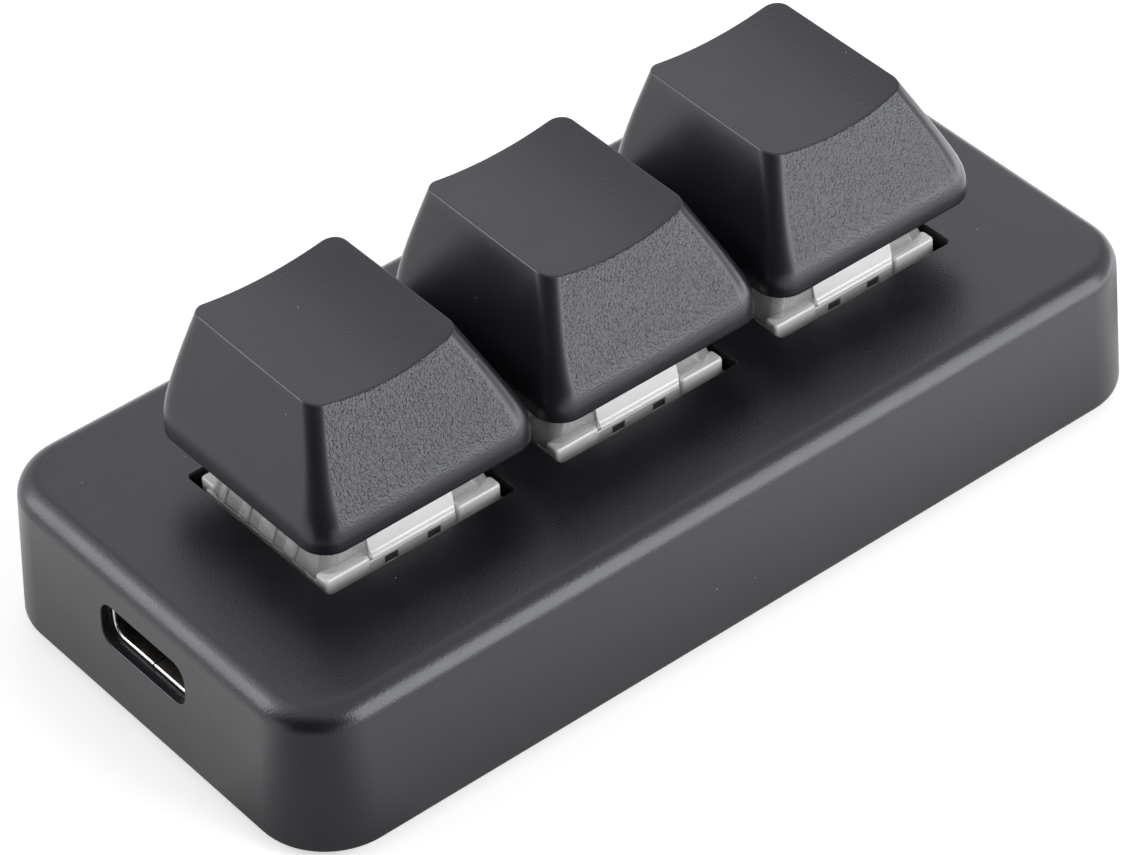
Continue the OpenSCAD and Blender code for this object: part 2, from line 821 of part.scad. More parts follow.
// Outside or inside of the upper housing: upright foot, then walls that lean in to the roof
module clear_form(inset, base_r, top_r, top_z) {
    hull() {
        slab(clear_x - 2 * inset, clear_y - 2 * inset, base_r, flange_top_z, clear_upright);
        slab(clear_top_x - 2 * inset, clear_top_y - 2 * inset, top_r, top_z - join, join);
    }
}

// Clear upper housing: leaning walls, roof with the stem's mouth, window and latch slots
module upper_housing(k) {
    low_y = -clear_half_y(window_low_z);
    high_y = -clear_half_y(window_high_z);
    window_in = housing_wall / 2;
    color(clear_plastic)
        translate([key_x(k), 0, 0])
            difference() {
                union() {
                    difference() {
                        clear_form(0, clear_base_r, clear_top_r, clear_top_z);
                        clear_form(housing_wall, clear_inner_r, clear_inner_r, roof_z);
                        block([-stem_mouth_x / 2, -stem_mouth_y / 2, roof_z - cut],
                            [stem_mouth_x / 2, stem_mouth_y / 2, clear_top_z + cut]);
                    }
                    translate([-window_w / 2, 0, 0])
                        rotate([90, 0, 90])
                            linear_extrude(window_w)
                                polygon([
                                    [low_y + window_in, window_low_z],
                                    [low_y - window_proud, window_low_z],
                                    [high_y - window_proud, window_high_z],
                                    [high_y + window_in, window_high_z],
                                ]);
                }
                for (side = [-1, 1])
                    for (x = [-latch_x, latch_x])
                        translate([x, side * (clear_y - housing_wall) / 2, flange_top_z])
                            block([-latch_w / 2, -housing_wall, -cut],
                                [latch_w / 2, housing_wall, latch_h]);
            }
}

// Milky lower housing: box below the plate, flange on it, snap noses, pole and spring guide
module lower_housing(k) {
    nose_top_z = plate_z - fit_gap / 2;
    color(milky_plastic)
        translate([key_x(k), 0, 0])
            difference() {
                union() {
                    slab(flange_side, flange_side, flange_r, plate_top_z, flange_t);
                    slab(housing_side, housing_side, housing_r, board_top_z,
                        plate_top_z + join - board_top_z);
                    for (turn = [0, 180])
                        rotate([0, 0, turn])
                            translate([-nose_w / 2, housing_side / 2, nose_top_z])
                                rotate([90, 0, 90])
                                    linear_extrude(nose_w)
                                        polygon([[-join, 0], [nose, 0], [-join, -nose_h]]);
                    translate([0, 0, pole_end_z])
                        cylinder(d = pole_d, h = floor_top_z - pole_end_z);
                }
                difference() {
                    slab(cavity_side, cavity_side, clear_inner_r, floor_top_z, flange_top_z);
                    cylinder(d = guide_d, h = guide_top_z);
                }
                translate([0, 0, pole_end_z + pole_end_t])
                    cylinder(d = post_d + 2 * post_gap, h = guide_top_z);
                translate(moving_pin)
                    standing_block([contact_t + 2 * pin_slot, pin_w + 2 * pin_slot,
                        housing_wall + 2 * cut], board_top_z - cut);
                translate(fixed_pin)
                    standing_block([pin_w + 2 * pin_slot, contact_t + 2 * pin_slot,
                        housing_wall + 2 * cut], board_top_z - cut);
                translate([0, led_y, 0])
                    standing_block([led_slot[0], led_slot[1], housing_wall + 2 * cut],
                        board_top_z - cut);
            }
}

// Moving contact: pin, upright leaf beside the stem, and a finger towards the fixed contact
module moving_contact(k) {
    x = moving_pin[0];
    finger_z = contact_top_z - finger_drop - finger_h;
    color([0.78, 0.58, 0.34])
        translate([key_x(k), 0, 0]) {
            block([x - contact_t / 2, moving_pin[1] - pin_w / 2, pin_end_z],
                [x + contact_t / 2, moving_pin[1] + pin_w / 2, contact_foot_z + join]);
            block([x - contact_t / 2, moving_pin[1] - leaf_in, contact_foot_z],
                [x + contact_t / 2, finger_y + contact_t / 2, contact_top_z]);
            block([x - contact_t / 2, finger_y - contact_t / 2, finger_z],
                [fixed_pin[0] + finger_over, finger_y + contact_t / 2, finger_z + finger_h]);
        }
}

// Fixed contact: pin and an upright plate behind the moving contact's finger
module fixed_contact(k) {
    y = fixed_pin[1];
    color([0.72, 0.52, 0.30])
        translate([key_x(k), 0, 0]) {
            block([fixed_pin[0] - pin_w / 2, y - contact_t / 2, pin_end_z],
                [fixed_pin[0] + pin_w / 2, y + contact_t / 2, contact_foot_z + join]);
            block([fixed_pin[0] - leaf_half_w, y - contact_t / 2, contact_foot_z],
                [fixed_pin[0] + leaf_half_w, y + contact_t / 2, contact_top_z]);
        }
}

top_case();
bottom_cover();
case_screws();
rubber_feet();
switch_plate();
circuit_board();
board_screws();
port_shell();
port_insulator();
port_contacts();
controller_chip();
board_capacitors();
board_resistors();
key_leds();
keycap(-1);  // left_keycap
stem(-1);  // left_stem
return_spring(-1);  // left_return_spring
upper_housing(-1);  // left_upper_housing
lower_housing(-1);  // left_lower_housing
moving_contact(-1);  // left_moving_contact
fixed_contact(-1);  // left_fixed_contact
keycap(0);  // middle_keycap
stem(0);  // middle_stem
return_spring(0);  // middle_return_spring
upper_housing(0);  // middle_upper_housing
lower_housing(0);  // middle_lower_housing
moving_contact(0);  // middle_moving_contact
fixed_contact(0);  // middle_fixed_contact
keycap(1);  // right_keycap
stem(1);  // right_stem
return_spring(1);  // right_return_spring
upper_housing(1);  // right_upper_housing
lower_housing(1);  // right_lower_housing
moving_contact(1);  // right_moving_contact
fixed_contact(1);  // right_fixed_contact
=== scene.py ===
# Macro keypad: a small black case with three clicking key switches in a row, their key caps, and a
# port in the left end. X runs along the row, the user sits on the -Y side, and Z is up.
# Sizes are in millimetres unless a comment says otherwise.

import bpy
import numpy as np
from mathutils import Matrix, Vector


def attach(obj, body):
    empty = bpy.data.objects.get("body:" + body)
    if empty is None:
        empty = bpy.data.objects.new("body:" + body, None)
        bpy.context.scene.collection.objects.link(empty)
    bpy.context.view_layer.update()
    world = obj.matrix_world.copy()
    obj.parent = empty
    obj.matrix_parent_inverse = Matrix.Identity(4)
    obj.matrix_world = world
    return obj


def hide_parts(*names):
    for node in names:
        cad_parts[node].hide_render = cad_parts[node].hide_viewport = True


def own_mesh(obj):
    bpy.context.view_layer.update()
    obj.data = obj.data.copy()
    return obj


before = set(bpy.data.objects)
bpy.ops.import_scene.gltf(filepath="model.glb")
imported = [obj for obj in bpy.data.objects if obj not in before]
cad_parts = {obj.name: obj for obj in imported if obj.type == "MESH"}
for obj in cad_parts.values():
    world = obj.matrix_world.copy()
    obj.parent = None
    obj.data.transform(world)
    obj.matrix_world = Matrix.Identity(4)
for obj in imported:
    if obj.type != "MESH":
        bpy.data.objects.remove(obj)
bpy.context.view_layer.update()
MM = 0.001


# Desk, camera and lamps

# The keypad stands on a plain white sheet in soft light, as small goods are photographed.
# Large white panels give the black plastic its grey sheen, and a dark corner keeps its edges deep.

scene = bpy.context.scene
scene.view_settings.view_transform = "Standard"

camera_place = np.array([-163.774, -210.617, 235.898])
camera_turn = np.radians([49.213, 2.058, -39.495])
camera_data = bpy.data.cameras.new("camera")
camera_data.sensor_fit = "HORIZONTAL"
camera_data.sensor_width = 36
camera_data.lens = 164.535
camera_data.clip_start = 0.02
camera_data.clip_end = 10
camera = bpy.data.objects.new("camera", camera_data)
camera.location = camera_place * MM
camera.rotation_euler = camera_turn
scene.collection.objects.link(camera)
scene.camera = camera


def node_tree(owner):
    """Emptied node tree of a material or of the world."""
    owner.use_nodes = True
    tree = owner.node_tree
    tree.nodes.clear()
    return tree


def add(tree, kind, inputs=None, **settings):
    """New node of that kind. An input given as another node's socket is linked, else it is set."""
    node = tree.nodes.new(kind)
    for key, value in settings.items():
        setattr(node, key, value)
    for key, value in (inputs or {}).items():
        if isinstance(value, bpy.types.NodeSocket):
            tree.links.new(value, node.inputs[key])
        else:
            node.inputs[key].default_value = value
    return node


def maths(tree, operation, first, second):
    """Result of one calculation with two numbers."""
    return add(tree, "ShaderNodeMath", {0: first, 1: second}, operation=operation).outputs[0]


def vector_maths(tree, operation, first, second=(0, 0, 0)):
    """Result of one calculation with two vectors, which is a vector too."""
    return add(tree, "ShaderNodeVectorMath", {0: first, 1: second}, operation=operation).outputs["Vector"]


def measure(tree, operation, first, second=(0, 0, 0)):
    """Number that one or two vectors give: a length, a distance or a dot product."""
    return add(tree, "ShaderNodeVectorMath", {0: first, 1: second}, operation=operation).outputs["Value"]


def ramp(tree, value, span, unit=1.0, even=False):
    """Goes from low to high while value goes from start to end, the span being these four.

    Start and end are in the given unit. It is level beyond them, and eased near them unless even."""
    start, end, low, high = span
    ends = {"Value": value, "From Min": start * unit, "From Max": end * unit, "To Min": low, "To Max": high}
    easing = "LINEAR" if even else "SMOOTHSTEP"
    return add(tree, "ShaderNodeMapRange", ends, interpolation_type=easing).outputs[0]


def seen_rays(tree):
    """1 for rays from the camera or through clear plastic, and 1 for rays off a glossy surface."""
    path = add(tree, "ShaderNodeLightPath").outputs
    return maths(tree, "MAXIMUM", path["Is Camera Ray"], path["Is Transmission Ray"]), path["Is Glossy Ray"]


# Middle of each place on the studio's walls, and its span: the cosine of the angle from that middle
# at the place's edge and at its core, with the brightness, or the factor on it, at both.
dark_corner, dark_corner_span = (-0.77, -0.636, 0.02), (0.42, 0.87, 1.05, 0.0)
glow, glow_span = (-0.36, 0.60, 0.71), (0.86, 1.0, 0.0, 1.6)
right_panel, right_panel_span = (0.80, 0.55, 0.22), (0.84, 1.0, 1.0, 0.75)
panel_white = (0.985, 0.985, 1.05, 1)
pure_white = (1, 1, 1, 1)
fill_strength = 0.42


def studio():
    """Surroundings: white where the camera sees them, an even fill on matt surfaces, and white
    panels with a dark corner, a glow and a dimmer right side in reflections."""
    world = bpy.data.worlds.new("studio")
    tree = node_tree(world)
    way = add(tree, "ShaderNodeTexCoord").outputs["Generated"]
    panel_light = ramp(tree, measure(tree, "DOT_PRODUCT", way, dark_corner), dark_corner_span)
    right_light = ramp(tree, measure(tree, "DOT_PRODUCT", way, right_panel), right_panel_span)
    glow_light = ramp(tree, measure(tree, "DOT_PRODUCT", way, glow), glow_span)
    light = maths(tree, "ADD", maths(tree, "MULTIPLY", panel_light, right_light), glow_light)
    seen, glossy = seen_rays(tree)
    white = add(tree, "ShaderNodeBackground", {"Color": pure_white, "Strength": 1})
    panels = add(tree, "ShaderNodeBackground", {"Color": panel_white, "Strength": light})
    fill = add(tree, "ShaderNodeBackground", {"Color": pure_white, "Strength": fill_strength})
    pick = add(tree, "ShaderNodeMixShader", {0: glossy, 1: fill.outputs[0], 2: panels.outputs[0]})
    pick = add(tree, "ShaderNodeMixShader", {0: seen, 1: pick.outputs[0], 2: white.outputs[0]})
    add(tree, "ShaderNodeOutputWorld", {"Surface": pick.outputs[0]})
    return world


scene.world = studio()


def softbox(name, toward, distance, width, height, radiance):
    """Rectangular lamp that faces the keypad from the given side, with its lengths in metres."""
    data = bpy.data.lights.new(name, "AREA")
    data.shape = "RECTANGLE"
    data.size = width
    data.size_y = height
    data.energy = radiance * np.pi * width * height
    lamp = bpy.data.objects.new(name, data)
    place = np.array(toward, float)
    place *= distance / np.linalg.norm(place)
    lamp.location = place
    lamp.rotation_euler = Vector(place).to_track_quat("Z", "Y").to_euler()
    scene.collection.objects.link(lamp)


softbox("lamp_left_back", (-0.64, 0.60, 0.42), distance=0.8, width=0.50, height=0.56, radiance=3.85)
softbox("lamp_front_right", (0.463, -0.80, 0.38), distance=0.8, width=0.60, height=0.68, radiance=5.1)
softbox("lamp_back_top", (0.60, 0.55, 0.62), distance=0.9, width=0.60, height=0.50, radiance=0.6)

# Places on the sheet, and the painted reflection that the plastic's gloss sees there, a glow of the sheet
# that is no lamp: each span is a stretch of the sheet with the brightness, or the factor on it, at both its
# ends.
case_half = np.array([36.6, 17.75])
left_to_right = (-30, 45, 1.0, 1.52)
# Painted shade in reflections, close beside the case.
painted_shade_beside_case = (1, 10, 0.45, 0.92)
far_away = (30, 110, 0.0, 1.0)
far_left_to_right = (-40, 30, 0.25, 2.4)
back_to_front = (20, -30, 0.0, 1.0)
# Painted shade in reflections, near the case's right end.
right_end, painted_shade_near_right_end = np.array([45, -11, 0]), (1, 11, 0.1, 1.0)
far_in_corner = (15, 45, 0.0, 1.0)

# The dark corner's direction on the sheet from a point under the case, with spans of the cosine of
# the angle from it: how its painted shade dims the sheet, and where it also darkens the sheet far from the
# case.
corner_start, corner_way = np.array([-24, -6, 0]), (-0.77, -0.638, 0)
corner_dimming = (0.74, 0.97, 1.0, 0.3)
corner_core = (0.82, 0.96, 0.0, 1.0)
paper_grey = 0.88
paper_lift = 0.45


def white_paper():
    """Matt white paper that keeps the keypad's shadow. Reflections see half of its grey and a painted shine,
    no lamp, that changes over the sheet by the spans above, with painted shade beside the case, near its
    right end and towards the dark corner."""
    stuff = bpy.data.materials.new("white_paper")
    tree = node_tree(stuff)
    where = add(tree, "ShaderNodeTexCoord").outputs["Object"]
    along = add(tree, "ShaderNodeSeparateXYZ", {"Vector": where}).outputs
    beyond = vector_maths(tree, "SUBTRACT", vector_maths(tree, "ABSOLUTE", where), (*case_half * MM, 0))
    gap = measure(tree, "LENGTH", vector_maths(tree, "MAXIMUM", beyond))
    from_start = vector_maths(tree, "SUBTRACT", where, corner_start * MM)
    to_corner = measure(tree, "DOT_PRODUCT", vector_maths(tree, "NORMALIZE", from_start), corner_way)

    # The shine is a painted reflection: it grows far from the case, to the right and to the front, and drops
    # where painted shade lies beside the case, near the right end and towards the dark corner.
    far_shine = ramp(tree, gap, far_away, MM)
    for side, span in (("X", far_left_to_right), ("Y", back_to_front)):
        far_shine = maths(tree, "MULTIPLY", far_shine, ramp(tree, along[side], span, MM, even=True))
    shine_of_gap = maths(tree, "ADD", ramp(tree, gap, painted_shade_beside_case, MM, even=True), far_shine)
    far_corner = maths(tree, "MULTIPLY", ramp(tree, to_corner, corner_core),
                       ramp(tree, gap, far_in_corner, MM, even=True))
    far_dim = maths(tree, "SUBTRACT", 1.0, far_corner)
    right_end_painted_shade = ramp(tree, measure(tree, "DISTANCE", where, right_end * MM), painted_shade_near_right_end, MM)
    shine = ramp(tree, along["X"], left_to_right, MM)
    for factor in (shine_of_gap, ramp(tree, to_corner, corner_dimming), right_end_painted_shade, far_dim):
        shine = maths(tree, "MULTIPLY", shine, factor)

    matt = add(tree, "ShaderNodeBsdfDiffuse", {"Color": (paper_grey, paper_grey, paper_grey, 1)})
    lift = add(tree, "ShaderNodeEmission", {"Color": pure_white, "Strength": paper_lift})
    seen_paper = add(tree, "ShaderNodeAddShader", {0: matt.outputs[0], 1: lift.outputs[0]})
    half_grey = maths(tree, "MULTIPLY", far_dim, paper_grey / 2)
    half_matt = add(tree, "ShaderNodeBsdfDiffuse", {"Color": half_grey})
    mirrored = add(tree, "ShaderNodeEmission", {"Color": pure_white, "Strength": shine})
    mirrored = add(tree, "ShaderNodeAddShader", {0: half_matt.outputs[0], 1: mirrored.outputs[0]})
    seen, glossy = seen_rays(tree)
    pick = add(tree, "ShaderNodeMixShader", {0: glossy, 1: matt.outputs[0], 2: mirrored.outputs[0]})
    pick = add(tree, "ShaderNodeMixShader", {0: seen, 1: pick.outputs[0], 2: seen_paper.outputs[0]})
    add(tree, "ShaderNodeOutputMaterial", {"Surface": pick.outputs[0]})
    return stuff


desk_half = 3000.0
desk_z = -0.02
desk_corners = np.array([(-1, -1), (1, -1), (1, 1), (-1, 1)]) * desk_half
desk_mesh = bpy.data.meshes.new("desk")
desk_mesh.from_pydata([(x * MM, y * MM, desk_z * MM) for x, y in desk_corners], [], [(0, 1, 2, 3)])
desk_mesh.materials.append(white_paper())
desk = bpy.data.objects.new("desk", desk_mesh)
scene.collection.objects.link(desk)


# Case

# One black moulded shell, its walls leaning in from the foot, with a rounded edge round the top,
# three square openings for the switches, the port's mouth in its left end, and eight screw bosses.

case_foot_z = 0.8
case_height = 11.4
case_top_z = case_foot_z + case_height
case_corner = 5.4
case_foot_round = 0.4
case_top_round = 1.6
case_lean = np.tan(np.radians(2.8))
case_wall = 2.2
case_steps = (16, 12)
ceiling_z = 10.0
ceiling_edge = 0.3
flat_margin = 0.4
board_top = 4.9


def rounded_loop(half_x, half_y, radius, arc=12, side=10):
    """Points round a rectangle with rounded corners, anticlockwise seen from above.

    Each corner is a quarter circle of arc steps, each side a straight line of side steps."""
    angle = np.arange(4)[:, None] * np.pi / 2 + np.linspace(0, np.pi / 2, arc + 1)
    corner_x = np.array([1, -1, -1, 1]) * (half_x - radius)
    corner_y = np.array([1, 1, -1, -1]) * (half_y - radius)
    arcs = np.stack([corner_x[:, None] + radius * np.cos(angle),
                     corner_y[:, None] + radius * np.sin(angle)], -1)
    step = np.linspace(0, 1, side + 1)[1:-1, None]
    sides = arcs[:, -1:] * (1 - step) + np.roll(arcs, -1, 0)[:, :1] * step
    return np.concatenate([arcs, sides], 1).reshape(-1, 2)


def level(loop, z):
    """Flat loop lifted to height z."""
    return np.column_stack([loop, np.full(len(loop), float(z))])


def skin(rings, looped=False):
    """Vertices and faces of the closed surface through a stack of rings of equal length.

    Ring i joins ring i + 1 by four-sided faces. The first and last rings are closed flat, or joined
    to each other when looped. Rings run anticlockwise seen from above where the surface climbs on
    the outside."""
    rings = np.asarray(rings, float)
    count, size = rings.shape[:2]
    i, j = np.meshgrid(np.arange(count if looped else count - 1), np.arange(size), indexing="ij")
    right, after = (j + 1) % size, (i + 1) % count
    quads = np.stack([i * size + j, i * size + right, after * size + right, after * size + j], -1)
    faces = quads.reshape(-1, 4).tolist()
    if not looped:
        faces.append(list(range(size))[::-1])
        faces.append(list(range((count - 1) * size, count * size)))
    return rings.reshape(-1, 3), faces


def join(*parts):
    """One set of vertices and faces from several."""
    points, faces, start = [], [], 0
    for some_points, some_faces in parts:
        points.append(some_points)
        faces += [[v + start for v in face] for face in some_faces]
        start += len(some_points)
    return np.concatenate(points), faces


def piece(name, points, faces, sharp=35):
    """Object at the origin from points in millimetres, smooth but for edges sharper than sharp."""
    mesh = bpy.data.meshes.new(name)
    mesh.from_pydata((np.asarray(points) * MM).tolist(), [], faces)
    mesh.shade_smooth()
    mesh.set_sharp_from_angle(angle=np.radians(sharp))
    thing = bpy.data.objects.new(name, mesh)
    scene.collection.objects.link(thing)
    return thing


def carve(thing, points, faces, sharp=35):
    """Cuts the closed volume of those points and faces out of thing, and evens its normals."""
    cutter = piece("cutter", points, faces)
    cut = thing.modifiers.new("cut", "BOOLEAN")
    cut.operation = "DIFFERENCE"
    cut.solver = "EXACT"
    cut.object = cutter
    bpy.context.view_layer.update()
    done = thing.evaluated_get(bpy.context.evaluated_depsgraph_get())
    mesh = bpy.data.meshes.new_from_object(done)
    thing.modifiers.clear()
    thing.data = mesh
    mesh.name = thing.name
    bpy.data.objects.remove(cutter)
    mesh.shade_smooth()
    mesh.set_sharp_from_angle(angle=np.radians(sharp))
    even = thing.modifiers.new("even", "WEIGHTED_NORMAL")
    even.keep_sharp = True


def case_level(inset, z):
    """Ring of the case's outside, moved in by inset all round."""
    return level(rounded_loop(*(case_half - inset), case_corner - inset, *case_steps), z)


# Outside: the foot's small round, the leaning wall, and the arc up to the flat top, which starts in
# line with the wall. Inside: down from the ceiling to the open foot.
foot_turn = np.radians([0, 30, 60, 90])
foot_rings = [case_level(case_foot_round * (1 - np.sin(a)), case_foot_z + case_foot_round * (1 - np.cos(a)))
              for a in foot_turn]
lean = np.arctan(case_lean)
arc_z = case_height - case_top_round
arc_in = arc_z * case_lean + case_top_round / np.cos(lean)
top_rings = [case_level(arc_in - case_top_round * np.cos(a), case_foot_z + arc_z + case_top_round * np.sin(a))
             for a in np.linspace(lean, np.pi / 2, 13)]
top_rings.append(case_level(arc_in + flat_margin, case_top_z))
inside = [case_level(case_wall + ceiling_edge, ceiling_z), case_level(case_wall, ceiling_z - ceiling_edge),
          case_level(case_wall, case_foot_z)]
shell = skin(inside + foot_rings + top_rings)

# Bosses: places, outer radius, lower end and the top of the screw's bore.
case_boss = dict(places=(31, 12.15), outer=2.5, low=2.0, bore_top=7.6)
board_boss = dict(places=(9.525, 11.8), outer=2.1, low=board_top, bore_top=8.6)
boss_bore = 1.02
boss_edge = 0.1
boss_sink = 0.05
boss_steps = 32


def four_bosses(places, outer, low, bore_top):
    """Four upright tubes under the ceiling, one in each quarter, with the bore open below."""
    angle = np.linspace(0, 2 * np.pi, boss_steps, endpoint=False)
    circle = np.column_stack([np.cos(angle), np.sin(angle)])
    profile = ((boss_bore, bore_top), (boss_bore, low + boss_edge), (boss_bore + boss_edge, low),
               (outer - boss_edge, low), (outer, low + boss_edge), (outer, ceiling_z + boss_sink))
    points, faces = skin([level(circle * radius, z) for radius, z in profile])
    x, y = places
    return [(points + [side_x, side_y, 0], faces) for side_x in (-x, x) for side_y in (-y, y)]


opening_half = 7.65
opening_corner = 0.3
opening_rim = 0.12
opening_low_z = 9.0
opening_steps = (6, 2)
cut_over = 0.5
quarter = np.linspace(0, np.pi / 2, 5)


def opening_level(grow, z):
    """Ring of an opening's cut, grown all round."""
    half = opening_half + grow
    return level(rounded_loop(half, half, opening_corner + grow, *opening_steps), z)


opening_cut = [opening_level(0, opening_low_z)]
opening_cut += [opening_level(opening_rim * (1 - np.cos(a)), case_top_z - opening_rim * (1 - np.sin(a)))
                for a in quarter]
opening_cut += [opening_level(opening_rim, case_top_z + cut_over)]
opening_points, opening_faces = skin(opening_cut)
key_pitch = 19.05
keys = {"left": -key_pitch, "middle": 0.0, "right": key_pitch}
cuts = [(opening_points + [x, 0, 0], opening_faces) for x in keys.values()]

port_half = np.array([4.45, 1.6])
port_corner = 1.1
port_middle = np.array([0.2, 7.45])
port_gap = 0.1
port_rim = 0.08
port_steps = (10, 6)
mouth_start = -1
mouth_depth = 3.2


def port_loop(grow, depth):
    """Ring of the port's mouth, grown all round, depth behind the leaning end wall."""
    loop = rounded_loop(*(port_half + grow), port_corner + grow, *port_steps) + port_middle
    wall_x = -case_half[0] + (loop[:, 1] - case_foot_z) * case_lean
    return np.column_stack([wall_x + depth, loop])


mouth = [port_loop(port_gap + port_rim, mouth_start)]
mouth += [port_loop(port_gap + port_rim * (1 - np.sin(a)), port_rim * (1 - np.cos(a))) for a in quarter]
mouth += [port_loop(port_gap, mouth_depth)]
cuts.append(skin(mouth))

case = piece("case_shell", *join(shell, *four_bosses(**case_boss), *four_bosses(**board_boss)))
carve(case, *join(*cuts))

speck_radius = 0.035
speck_share = 0.25


def grain_group():
    """Shared surface of the plastics and metals: fine grain, slow mottling, and a few dust specks.

    Grain and Mottle are noise of the given scales. Dust is 1 within a small radius of the middles of
    a share of the cells, and 0 elsewhere."""
    group = bpy.data.node_groups.new("moulded_grain", "ShaderNodeTree")
    for name in ("Grain Scale", "Mottle Scale", "Dust Scale"):
        group.interface.new_socket(name, in_out="INPUT", socket_type="NodeSocketFloat")
    for name in ("Grain", "Mottle", "Dust"):
        group.interface.new_socket(name, in_out="OUTPUT", socket_type="NodeSocketFloat")
    given = add(group, "NodeGroupInput").outputs
    where = add(group, "ShaderNodeTexCoord").outputs["Object"]
    fine = add(group, "ShaderNodeTexNoise", {"Vector": where, "Scale": given["Grain Scale"],
                                             "Detail": 1.4, "Roughness": 0.55})
    slow = add(group, "ShaderNodeTexNoise", {"Vector": where, "Scale": given["Mottle Scale"],
                                             "Detail": 3.0, "Roughness": 0.6})
    cells = add(group, "ShaderNodeTexVoronoi", {"Vector": where, "Scale": given["Dust Scale"]}).outputs
    near = maths(group, "LESS_THAN", cells["Distance"], speck_radius)
    chosen = add(group, "ShaderNodeSeparateColor", {"Color": cells["Color"]}).outputs["Red"]
    speck = maths(group, "MULTIPLY", near, maths(group, "LESS_THAN", chosen, speck_share))
    add(group, "NodeGroupOutput", {"Grain": fine.outputs["Fac"], "Mottle": slow.outputs["Fac"],
                                   "Dust": speck})
    return group


grain = grain_group()
noise_fit = 0.8
mottle_span = (0.3, 0.7)
dust_grey = (0.3, 0.3, 0.3)
cool_gloss = (0.950, 0.962, 1.0, 1)


def grained(name, size, mottle_scale, dust_scale=600):
    """New material with the shared surface: the material, its node tree and the surface's outputs.

    The grain is about as coarse as size, in metres. Mottling and dust have that many cells a metre."""
    stuff = bpy.data.materials.new(name)
    tree = node_tree(stuff)
    scales = {"Grain Scale": noise_fit / size, "Mottle Scale": mottle_scale, "Dust Scale": dust_scale}
    return stuff, tree, add(tree, "ShaderNodeGroup", scales, node_tree=grain).outputs


def mixed(tree, share, first, second):
    """Colour that goes from first to second, each given as three numbers or as a socket."""
    ends = [end if isinstance(end, bpy.types.NodeSocket) else (*end, 1) for end in (first, second)]
    return add(tree, "ShaderNodeMix", {"Factor": share, 6: ends[0], 7: ends[1]}, data_type="RGBA").outputs[2]


def moulded(name, dark, light, rough, size, relief, dust=0.0, specular=0.515, pebble=None):
    """Moulded plastic: colour between dark and light by slow mottling, roughness rough +- a little,
    relief in metres from grain of that size in metres, scaled by the piece's pebble attribute."""
    stuff, tree, surface = grained(name, size, mottle_scale=300, dust_scale=620)
    base = mixed(tree, surface["Mottle"], dark, light)
    if dust:
        base = mixed(tree, maths(tree, "MULTIPLY", surface["Dust"], dust), base, dust_grey)
    height = surface["Grain"]
    if pebble:
        amount = add(tree, "ShaderNodeAttribute", attribute_name=pebble).outputs["Fac"]
        height = maths(tree, "MULTIPLY", maths(tree, "SUBTRACT", height, 0.5), amount)
    rough = ramp(tree, surface["Mottle"], (*mottle_span, rough - 0.03, rough + 0.03), even=True)
    bump = add(tree, "ShaderNodeBump", {"Height": height, "Distance": relief})
    shader = add(tree, "ShaderNodeBsdfPrincipled", {"Base Color": base, "Roughness": rough,
                                                    "Normal": bump.outputs[0],
                                                    "Specular IOR Level": specular,
                                                    "Specular Tint": cool_gloss})
    add(tree, "ShaderNodeOutputMaterial", {"Surface": shader.outputs[0]})
    return stuff


case_black = moulded("case_black", dark=(0.0083, 0.0088, 0.0112), light=(0.0113, 0.0118, 0.0142),
                     rough=0.31, size=0.13 * MM, relief=0.016 * MM, dust=0.8)
case.data.materials.append(case_black)
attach(case, "case")
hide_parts("top_case")


# Bottom cover, its screws and the rubber feet

# A flat black moulded cover let into the foot of the case, held by four countersunk screws.
# Four round rubber feet are stuck into shallow beds in it.


def dress(material, *names):
    """Gives that material to CAD nodes that keep their shape."""
    for name in names:
        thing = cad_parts[name]
        thing.data.materials.clear()
        thing.data.materials.append(material)


cover_black = moulded("cover_black", dark=(0.010, 0.010, 0.011), light=(0.014, 0.014, 0.015),
                      rough=0.45, size=0.30 * MM, relief=0.004 * MM, dust=0.5)
foot_rubber = moulded("foot_rubber", dark=(0.018, 0.018, 0.018), light=(0.030, 0.029, 0.028),
                      rough=0.75, size=0.12 * MM, relief=0.006 * MM, dust=0.6, specular=0.3)
dress(cover_black, "bottom_cover")
dress(foot_rubber, "rubber_feet")


def metal(name, dark, light, rough, size, relief):
    """Bare metal: colour between dark and light, uneven gloss and a faint relief, all from noise."""
    stuff, tree, surface = grained(name, size, mottle_scale=900)
    rough = ramp(tree, surface["Mottle"], (*mottle_span, rough - 0.04, rough + 0.06), even=True)
    bump = add(tree, "ShaderNodeBump", {"Height": surface["Grain"], "Distance": relief})
    shader = add(tree, "ShaderNodeBsdfPrincipled", {"Base Color": mixed(tree, surface["Mottle"], dark, light),
                                                    "Metallic": 1.0, "Roughness": rough,
                                                    "Normal": bump.outputs[0]})
    add(tree, "ShaderNodeOutputMaterial", {"Surface": shader.outputs[0]})
    return stuff


black_screw = metal("black_screw", dark=(0.045, 0.045, 0.050), light=(0.075, 0.075, 0.080),
                    rough=0.34, size=0.10 * MM, relief=0.002 * MM)
dress(black_screw, "case_screws")


# Circuit board and what is soldered on it

# A green glass and resin board with a small black controller, tan capacitors, dark resistors and
# a milky light under each switch, held up to the top wall by four pan head screws.

